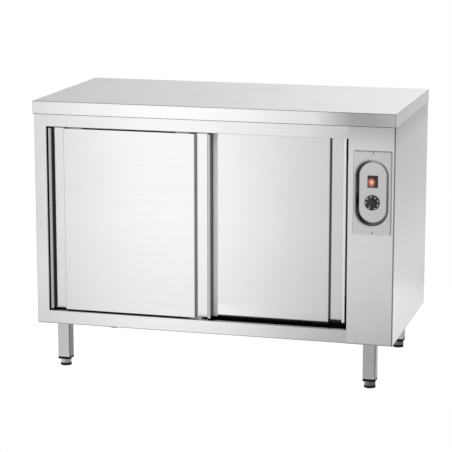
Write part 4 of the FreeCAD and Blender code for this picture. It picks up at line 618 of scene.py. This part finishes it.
STEEL = (0.80, 0.803, 0.80)
worktop_steel = sheet_steel("worktop_steel", (0.85, 0.853, 0.85), 0.20, 0.94, clouds=2.0, marks=worktop_painted_shade)
carcass_steel = sheet_steel("carcass_steel", STEEL, 0.20, 0.94, marks=carcass_painted_light)
door_steel = sheet_steel("door_steel", STEEL, 0.20, 0.94, clouds=2.4, cloud_depth=0.015,
                         marks=door_painted_light, wear=door_wear, matt_strip=door_matt_strip)
plate_steel = sheet_steel("plate_steel", (0.68, 0.682, 0.68), 0.30, 0.6, clouds=8.0, marks=plate_painted_shade)
liner_steel = sheet_steel("liner_steel", (0.62, 0.62, 0.615), 0.34, 0.6, clouds=5.0, cloud_depth=0.05)
trough_steel = sheet_steel("trough_steel", (0.55, 0.55, 0.545), 0.4, 0.2, clouds=12.0, cloud_depth=0.1,
                           marks=trough_painted_shade)
leg_steel = sheet_steel("leg_steel", (0.56, 0.56, 0.557), 0.16, 0.1, grain=GRAIN_TALL, spread=SPREAD_ASIDE,
                        clouds=6.0, cloud_depth=0.05, marks=leg_painted_shade)


def turned_steel(name, colour, roughness, marks=None):
    """Bright fasteners and spindles, with fine tool marks and a little soiling."""
    material, tree, shader, place = new_material(name, 1.0, roughness)
    rings = noise(tree, vectors(tree, "MULTIPLY", place, (900.0, 2500.0, 900.0)), 1.0, 2.0)
    dirt = noise(tree, place, 240.0, 3.0)
    tone = times(tree, varied(tree, rings, 0.94, 1.05), span(tree, dirt, 0.55, 0.8, 1.0, 0.78))
    if marks:
        tone = times(tree, tone, marks(tree, place))
    feed(tree, shader["Base Color"], shaded(tree, colour, tone))
    feed(tree, shader["Roughness"], span(tree, dirt, 0.3, 0.75, roughness * 0.85, roughness * 1.4))
    feed(tree, shader["Normal"], bump(tree, rings, 0.00001))
    return material


def screw_painted_light(tree, place):
    """A plate screw's head has a painted highlight at its left and painted shade at its right."""
    return span(tree, split(tree, place)["X"], PLATE_MIDDLE[0] - 0.0002, PLATE_MIDDLE[0] + 0.0010, 1.25, 0.22)


screw_steel = turned_steel("screw_steel", (0.72, 0.72, 0.71), 0.24)
plate_screw_steel = turned_steel("plate_screw_steel", (0.76, 0.76, 0.75), 0.30, screw_painted_light)

# Feet: how far from the middle they stand, and where the pad ends and the collar starts.
FOOT_ASIDE = 0.4965
PAD_TOP = 0.0081


def make_foot_steel():
    """Turned hexagon collar over a black moulded pad, with a painted highlight on the left flats of each foot, painted
    shade on its right flats, and more painted shade on the right pair of feet.
    """
    material, tree, shader, place = new_material("foot_steel", 1.0, 0.3)
    axis = split(tree, place)
    pad = span(tree, axis["Z"], PAD_TOP + 0.0003, PAD_TOP - 0.0003)
    scratches = noise(tree, vectors(tree, "MULTIPLY", place, (260.0, 260.0, 1400.0)), 1.0, 3.0)
    tone = varied(tree, scratches, 0.86, 1.08)
    left_flats = span(tree, axis["X"], -FOOT_ASIDE - 0.0025, -FOOT_ASIDE + 0.0025, 1.2, 0.7)
    right_flats = span(tree, axis["X"], FOOT_ASIDE - 0.0025, FOOT_ASIDE + 0.0025, 1.25, 0.75)
    across = span(tree, axis["X"], -0.3, 0.3, 1.0, 0.58)
    steel = shaded(tree, (0.32, 0.32, 0.315), times(tree, tone, left_flats, right_flats, across))
    rubber = shaded(tree, (0.012, 0.012, 0.012), tone)
    feed(tree, shader["Base Color"], blend_colour(tree, pad, steel, rubber))
    feed(tree, shader["Metallic"], toned(tree, 0.0, pad))
    feed(tree, shader["Roughness"], blend(tree, pad, varied(tree, scratches, 0.26, 0.36), 0.55))
    feed(tree, shader["Normal"], bump(tree, scratches, 0.00001))
    shader["Specular IOR Level"].default_value = 0.15
    return material


foot_steel = make_foot_steel()


def make_galvanised():
    """Hot dipped sheet of the hidden casing."""
    material, tree, shader, place = new_material("galvanised_steel", 1.0, 0.42)
    zinc = use(tree, SPANGLE, Place=place, Size=110.0)
    tone = times(tree, span(tree, zinc["Crystal"], 0.0, 1.0, 0.86, 1.08), varied(tree, zinc["Frost"], 0.95, 1.05))
    feed(tree, shader["Base Color"], shaded(tree, (0.60, 0.61, 0.62), tone))
    feed(tree, shader["Roughness"], span(tree, zinc["Crystal"], 0.0, 1.0, 0.34, 0.52))
    feed(tree, shader["Normal"], bump(tree, zinc["Frost"], 0.00002))
    return material


galvanised_steel = make_galvanised()


def plastic(name, colour, roughness, grain=1800.0, depth=0.00002, gloss=0.5):
    """Moulded plastic or rubber with its fine surface grain."""
    material, tree, shader, place = new_material(name, 0.0, roughness)
    moulded = use(tree, MOULDING, Place=place, Grain=grain)
    smudge = use(tree, SMUDGES, Place=place, Size=60.0)["Mask"]
    feed(tree, shader["Base Color"], shaded(tree, colour, varied(tree, moulded["Tone"], 0.88, 1.14)))
    feed(tree, shader["Roughness"], times(tree, varied(tree, moulded["Tone"], roughness * 0.9, roughness * 1.1),
                                          toned(tree, 0.8, smudge)))
    feed(tree, shader["Normal"], bump(tree, moulded["Height"], depth))
    shader["Specular IOR Level"].default_value = gloss
    return material


knob_black = plastic("knob_black", (0.022, 0.022, 0.024), 0.42)
gland_black = plastic("gland_black", (0.020, 0.020, 0.021), 0.48)
plug_black = plastic("plug_black", (0.004, 0.004, 0.004), 0.6, gloss=0.12)
stop_rubber = plastic("stop_rubber", (0.018, 0.018, 0.018), 0.75, grain=900.0, depth=0.00005)
guide_nylon = plastic("guide_nylon", (0.78, 0.77, 0.73), 0.40)
terminal_white = plastic("terminal_white", (0.80, 0.80, 0.77), 0.35)
thermostat_grey = plastic("thermostat_grey", (0.46, 0.46, 0.44), 0.42)


# The bulb in the switch, how far its light reaches, how fast it fades to the left and right and down and up, how much
# ripples in the lens shift it, and its colours outwards.
BULB = (0.5028, 0.0, 0.6508)
GLOW_REACH = 0.026
FADE_LEFT, FADE_RIGHT = 1.0, 1.9
FADE_DOWN, FADE_UP = 0.92, 1.45
FADE_BLUR = 0.0005
RIPPLE_DEPTH = 0.0016
GLOW = (
    (0.0, (1.0, 0.70, 0.42)), (0.115, (1.0, 0.48, 0.28)), (0.23, (0.76, 0.28, 0.18)), (0.35, (0.50, 0.145, 0.11)),
    (0.48, (0.31, 0.105, 0.095)), (0.62, (0.13, 0.050, 0.050)), (0.77, (0.050, 0.016, 0.018)),
    (1.0, (0.022, 0.006, 0.006)),
)


def make_bulb_glow():
    """Light of the small bulb behind the rocker, which reaches furthest down and to the left."""
    tree, given, result = new_group("bulb_glow", [("Place", "Vector", None), ("Bulb", "Vector", BULB)],
                                    ["Glow", "Ripple"], colours=["Glow"])
    place = given["Place"]
    axis = split(tree, vectors(tree, "SUBTRACT", place, given["Bulb"]))
    aside = times(tree, axis["X"], span(tree, axis["X"], -FADE_BLUR, FADE_BLUR, FADE_LEFT, FADE_RIGHT))
    upward = times(tree, axis["Z"], span(tree, axis["Z"], -FADE_BLUR, FADE_BLUR, FADE_DOWN, FADE_UP))
    ripple = noise(tree, vectors(tree, "MULTIPLY", place, (500.0, 500.0, 160.0)), 1.0, 2.0)
    away = maths(tree, "SUBTRACT", distance(tree, aside, upward), RIPPLE_DEPTH / 2)
    reach = maths(tree, "MULTIPLY_ADD", ripple, RIPPLE_DEPTH, away)
    feed(tree, result["Glow"], ramp(tree, span(tree, reach, 0.0, GLOW_REACH), GLOW))
    feed(tree, result["Ripple"], ripple)
    return tree


BULB_GLOW = make_bulb_glow()


def make_lamp_lens():
    """Amber rocker lit from behind: hot in the middle, deep red at the rims, nearly black in the corners."""
    material, tree, shader, place = new_material("lamp_lens", 0.0, 0.16)
    bulb = use(tree, BULB_GLOW, Place=place)
    ripple = bulb["Ripple"]
    feed(tree, shader["Base Color"], shaded(tree, bulb["Glow"], 0.12))
    feed(tree, shader["Emission Color"], bulb["Glow"])
    shader["Emission Strength"].default_value = 0.9
    feed(tree, shader["Roughness"], varied(tree, ripple, 0.12, 0.2))
    feed(tree, shader["Normal"], bump(tree, ripple, 0.00003))
    return material


def make_switch_black():
    """Gloss black frame of the switch, with a painted glow on its rim for the bulb's light spilling onto it."""
    material, tree, shader, place = new_material("switch_black", 0.0, 0.28)
    moulded = use(tree, MOULDING, Place=place, Grain=2600.0)
    feed(tree, shader["Base Color"], shaded(tree, (0.014, 0.013, 0.015), varied(tree, moulded["Tone"], 0.88, 1.14)))
    # Painted glow: the frame is no lamp, yet it glows with the bulb's light.
    feed(tree, shader["Emission Color"], use(tree, BULB_GLOW, Place=place)["Glow"])
    shader["Emission Strength"].default_value = 0.75
    feed(tree, shader["Roughness"], varied(tree, moulded["Tone"], 0.25, 0.31))
    feed(tree, shader["Normal"], bump(tree, moulded["Height"], 0.00001))
    return material


lamp_lens = make_lamp_lens()
switch_black = make_switch_black()


def make_core_board():
    """Chipboard under the worktop sheet."""
    material, tree, shader, place = new_material("core_board", 0.0, 0.85)
    chips = use(tree, FIBRES, Place=place, Stretch=(220.0, 220.0, 500.0))
    feed(tree, shader["Base Color"], blend_colour(tree, span(tree, chips["Strands"], 0.35, 0.65),
                                                  (0.36, 0.25, 0.14, 1.0), (0.62, 0.48, 0.30, 1.0)))
    feed(tree, shader["Roughness"], span(tree, chips["Lumps"], 0.0, 0.8, 0.72, 0.92))
    feed(tree, shader["Normal"], bump(tree, chips["Strands"], 0.0003))
    return material


def make_mineral_wool():
    """Yellow-brown insulation in loose, matted strands."""
    material, tree, shader, place = new_material("mineral_wool", 0.0, 0.95)
    wool = use(tree, FIBRES, Place=place, Stretch=(260.0, 90.0, 320.0))
    feed(tree, shader["Base Color"], blend_colour(tree, span(tree, wool["Strands"], 0.35, 0.68),
                                                  (0.27, 0.22, 0.11, 1.0), (0.62, 0.55, 0.34, 1.0)))
    feed(tree, shader["Roughness"], span(tree, wool["Lumps"], 0.0, 0.8, 0.85, 1.0))
    feed(tree, shader["Normal"], bump(tree, wool["Strands"], 0.0012))
    return material


def make_probe_copper():
    """Drawn copper, gone brown in places with the heat."""
    material, tree, shader, place = new_material("probe_copper", 1.0, 0.3)
    heat = noise(tree, place, 70.0, 3.0)
    feed(tree, shader["Base Color"], blend_colour(tree, span(tree, heat, 0.4, 0.7),
                                                  (0.86, 0.46, 0.30, 1.0), (0.42, 0.20, 0.12, 1.0)))
    feed(tree, shader["Roughness"], span(tree, heat, 0.35, 0.7, 0.22, 0.48))
    feed(tree, shader["Normal"], bump(tree, noise(tree, place, 1500.0, 2.0), 0.00001))
    return material


def make_element_steel():
    """Heater sheath, dark and tinted by its own heat."""
    material, tree, shader, place = new_material("element_steel", 1.0, 0.45)
    heat = noise(tree, place, 26.0, 3.0)
    feed(tree, shader["Base Color"], blend_colour(tree, span(tree, heat, 0.38, 0.66),
                                                  (0.17, 0.15, 0.14, 1.0), (0.30, 0.23, 0.16, 1.0)))
    feed(tree, shader["Roughness"], span(tree, heat, 0.35, 0.7, 0.38, 0.6))
    feed(tree, shader["Normal"], bump(tree, noise(tree, place, 900.0, 3.0), 0.00003))
    return material


def make_motor_grey():
    """Stove enamel over a pressed steel motor shell."""
    material, tree, shader, place = new_material("motor_grey", 0.0, 0.45)
    peel = noise(tree, place, 420.0, 2.0)
    dust = noise(tree, place, 18.0, 3.0)
    feed(tree, shader["Base Color"], shaded(tree, (0.23, 0.24, 0.25), span(tree, dust, 0.35, 0.7, 0.92, 1.2)))
    feed(tree, shader["Roughness"], span(tree, dust, 0.35, 0.7, 0.38, 0.62))
    feed(tree, shader["Normal"], bump(tree, peel, 0.00006))
    return material


def make_fan_aluminium():
    """Rolled aluminium of the fan wheel, with a grey bloom of lint."""
    material, tree, shader, place = new_material("fan_aluminium", 1.0, 0.34)
    rolled = noise(tree, vectors(tree, "MULTIPLY", place, (40.0, 1500.0, 1500.0)), 1.0, 2.0)
    lint = noise(tree, place, 34.0, 3.0)
    tone = times(tree, varied(tree, rolled, 0.94, 1.04), span(tree, lint, 0.45, 0.8, 1.0, 0.8))
    feed(tree, shader["Base Color"], shaded(tree, (0.78, 0.785, 0.79), tone))
    feed(tree, shader["Roughness"], span(tree, lint, 0.35, 0.75, 0.28, 0.5))
    feed(tree, shader["Normal"], bump(tree, rolled, 0.00001))
    return material


def make_dial_white():
    """White print on the dial, slightly uneven where the ink was rolled on."""
    material, tree, shader, place = new_material("dial_white", 0.0, 0.5)
    ink = noise(tree, place, 1400.0, 2.0)
    feed(tree, shader["Base Color"], shaded(tree, (0.84, 0.84, 0.82), varied(tree, ink, 0.86, 1.04)))
    feed(tree, shader["Roughness"], varied(tree, ink, 0.42, 0.6))
    return material


FINISHES = {
    "worktop_steel": worktop_steel, "carcass_steel": carcass_steel, "door_steel": door_steel,
    "plate_steel": plate_steel, "liner_steel": liner_steel, "leg_steel": leg_steel, "foot_steel": foot_steel,
    "screw_steel": screw_steel, "galvanised_steel": galvanised_steel, "core_board": make_core_board(),
    "mineral_wool": make_mineral_wool(), "guide_nylon": guide_nylon, "stop_rubber": stop_rubber,
    "switch_black": switch_black, "lamp_lens": lamp_lens, "knob_black": knob_black,
    "thermostat_grey": thermostat_grey, "probe_copper": make_probe_copper(), "element_steel": make_element_steel(),
    "motor_grey": make_motor_grey(), "fan_aluminium": make_fan_aluminium(), "terminal_white": terminal_white,
    "gland_black": gland_black, "plug_black": plug_black,
}


def paint(name, material):
    slots = nodes[name].data.materials
    slots.clear()
    slots.append(material)


for row in frame["record"]["subparts"]:
    paint(row["node"], FINISHES[row["material_slot"]])
paint("door_trough", trough_steel)
paint("control_plate_screws", plate_screw_steel)


# Detail pieces.

def finish_piece(name, shape, material, body):
    """Turns a finished bmesh into a piece that sits at the origin and rides on a body."""
    bmesh.ops.recalc_face_normals(shape, faces=shape.faces)
    mesh = bpy.data.meshes.new(name)
    shape.to_mesh(mesh)
    shape.free()
    mesh.materials.append(material)
    piece = bpy.data.objects.new(name, mesh)
    bpy.context.scene.collection.objects.link(piece)
    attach(piece, body)


def add_bar(shape, size, place, bevel=0.0):
    """A bar with softened edges, put at a place by a matrix."""
    corners = bmesh.ops.create_cube(shape, size=1.0)["verts"]
    bmesh.ops.scale(shape, vec=size, verts=corners)
    if bevel:
        edges = list({edge for corner in corners for edge in corner.link_edges})
        softened = bmesh.ops.bevel(shape, geom=edges, offset=bevel, segments=2, profile=0.5, affect="EDGES",
                                   material=-1)
        kept = {corner for corner in corners if corner.is_valid}
        corners = list(kept | {corner for face in softened["faces"] for corner in face.verts})
    bmesh.ops.transform(shape, matrix=place, verts=corners)


# Dial print: figures round the skirt, and the setting line on skirt and hub, whose parts are given as length and
# distance from the dial's middle.
DIAL = Vector((0.50295, 0.0, 0.5865))
SKIRT_FACE = -0.2889
HUB_FACE = -0.2970
FIGURES = ("30", "40", "50", "60", "70", "80", "90")
FIRST_FIGURE = -90.0
FIGURE_STEP = 40.0
FIGURE_RADIUS = 0.0183
FIGURE_SIZE = 0.0062
FIGURE_WEIGHT = 0.00008
PRINT_DEPTH = 0.00012
LINE_BEARING = 209.0
LINE_WIDTH = 0.0016
SKIRT_LINE = (0.0050, 0.0180)
HUB_LINE = (0.0070, 0.0093)


def round_dial(degrees, radius, face):
    """A place on the dial, turned clockwise from the top as seen from the front."""
    return (Matrix.Translation((DIAL.x, face, DIAL.z)) @ Matrix.Rotation(math.radians(degrees), 4, "Y")
            @ Matrix.Translation((0.0, 0.0, radius)))


def make_dial_print(material):
    """Raised figures and the setting line, which turn with the dial."""
    shape = bmesh.new()
    stand = Matrix.Rotation(math.radians(90), 4, "X")
    for index, figure in enumerate(FIGURES):
        letters = bpy.data.curves.new("figure_" + figure, "FONT")
        letters.body = figure
        letters.size = FIGURE_SIZE
        letters.extrude = PRINT_DEPTH
        letters.offset = FIGURE_WEIGHT
        letters.align_x = "CENTER"
        letters.align_y = "CENTER"
        text = bpy.data.objects.new("figure_" + figure, letters)
        bpy.context.scene.collection.objects.link(text)
        bpy.context.view_layer.update()
        mesh = bpy.data.meshes.new_from_object(text)
        bpy.data.objects.remove(text)
        mesh.transform(round_dial(FIRST_FIGURE + index * FIGURE_STEP, FIGURE_RADIUS, SKIRT_FACE) @ stand)
        shape.from_mesh(mesh)
        bpy.data.meshes.remove(mesh)
    for (length, radius), face in ((SKIRT_LINE, SKIRT_FACE), (HUB_LINE, HUB_FACE)):
        add_bar(shape, (LINE_WIDTH, 2 * PRINT_DEPTH, length), round_dial(LINE_BEARING, radius, face))
    finish_piece("dial_print", shape, material, "knob")


make_dial_print(make_dial_white())


# Joint under the worktop: a dark bead in front that stands in for the shadow under the worktop's front edge, and thin
# # steel strips at the sides. Sizes are across, deep and high, each place is the middle, and the edge is how far their
# # corners are rounded.
WORKTOP_UNDERSIDE = 0.8200
SHADOW_BEAD_AND_STRIP_HEIGHT = 0.0024
SHADOW_BEAD_AND_STRIP_LEVEL = WORKTOP_UNDERSIDE - SHADOW_BEAD_AND_STRIP_HEIGHT / 2
SHADOW_BEAD_SIZE = (1.1495, 0.0030, SHADOW_BEAD_AND_STRIP_HEIGHT)
SHADOW_BEAD_PLACE = (0.0, -0.2927, SHADOW_BEAD_AND_STRIP_LEVEL)
STRIP_SIZE = (0.0018, 0.5830, SHADOW_BEAD_AND_STRIP_HEIGHT)
STRIP_PLACE = (0.57385, 0.0015, SHADOW_BEAD_AND_STRIP_LEVEL)
SHADOW_BEAD_AND_STRIP_EDGE = 0.0004


def make_worktop_shadow_bead():
    """The dark bead in front, which stands in for the shadow under the worktop's front edge."""
    shape = bmesh.new()
    add_bar(shape, SHADOW_BEAD_SIZE, Matrix.Translation(SHADOW_BEAD_PLACE), SHADOW_BEAD_AND_STRIP_EDGE)
    finish_piece("worktop_shadow_bead", shape, stop_rubber, "cabinet")


make_worktop_shadow_bead()


# Welds at both ends of both rails, ground flush with the front. Each rail has a height and a middle level.
WELD_WIDTH = 0.0056
WELD_DEPTH = 0.0030
WELD_EDGE = 0.0003
WELD_MIDDLE = -0.29005
RAILS = ((0.0392, 0.7991), (0.0400, 0.1675))


def make_rail_welds():
    """The rails' welds, and the strips that close the worktop's joint at the sides."""
    shape = bmesh.new()
    for joint in (OPENING_LEFT, OPENING_RIGHT):
        for height, level in RAILS:
            place = Matrix.Translation((joint, WELD_MIDDLE, level))
            add_bar(shape, (WELD_WIDTH, WELD_DEPTH, height), place, WELD_EDGE)
    for side in (-1, 1):
        place = Matrix.Translation((side * STRIP_PLACE[0], *STRIP_PLACE[1:]))
        add_bar(shape, STRIP_SIZE, place, SHADOW_BEAD_AND_STRIP_EDGE)
    finish_piece("rail_welds", shape, carcass_steel, "cabinet")


make_rail_welds()
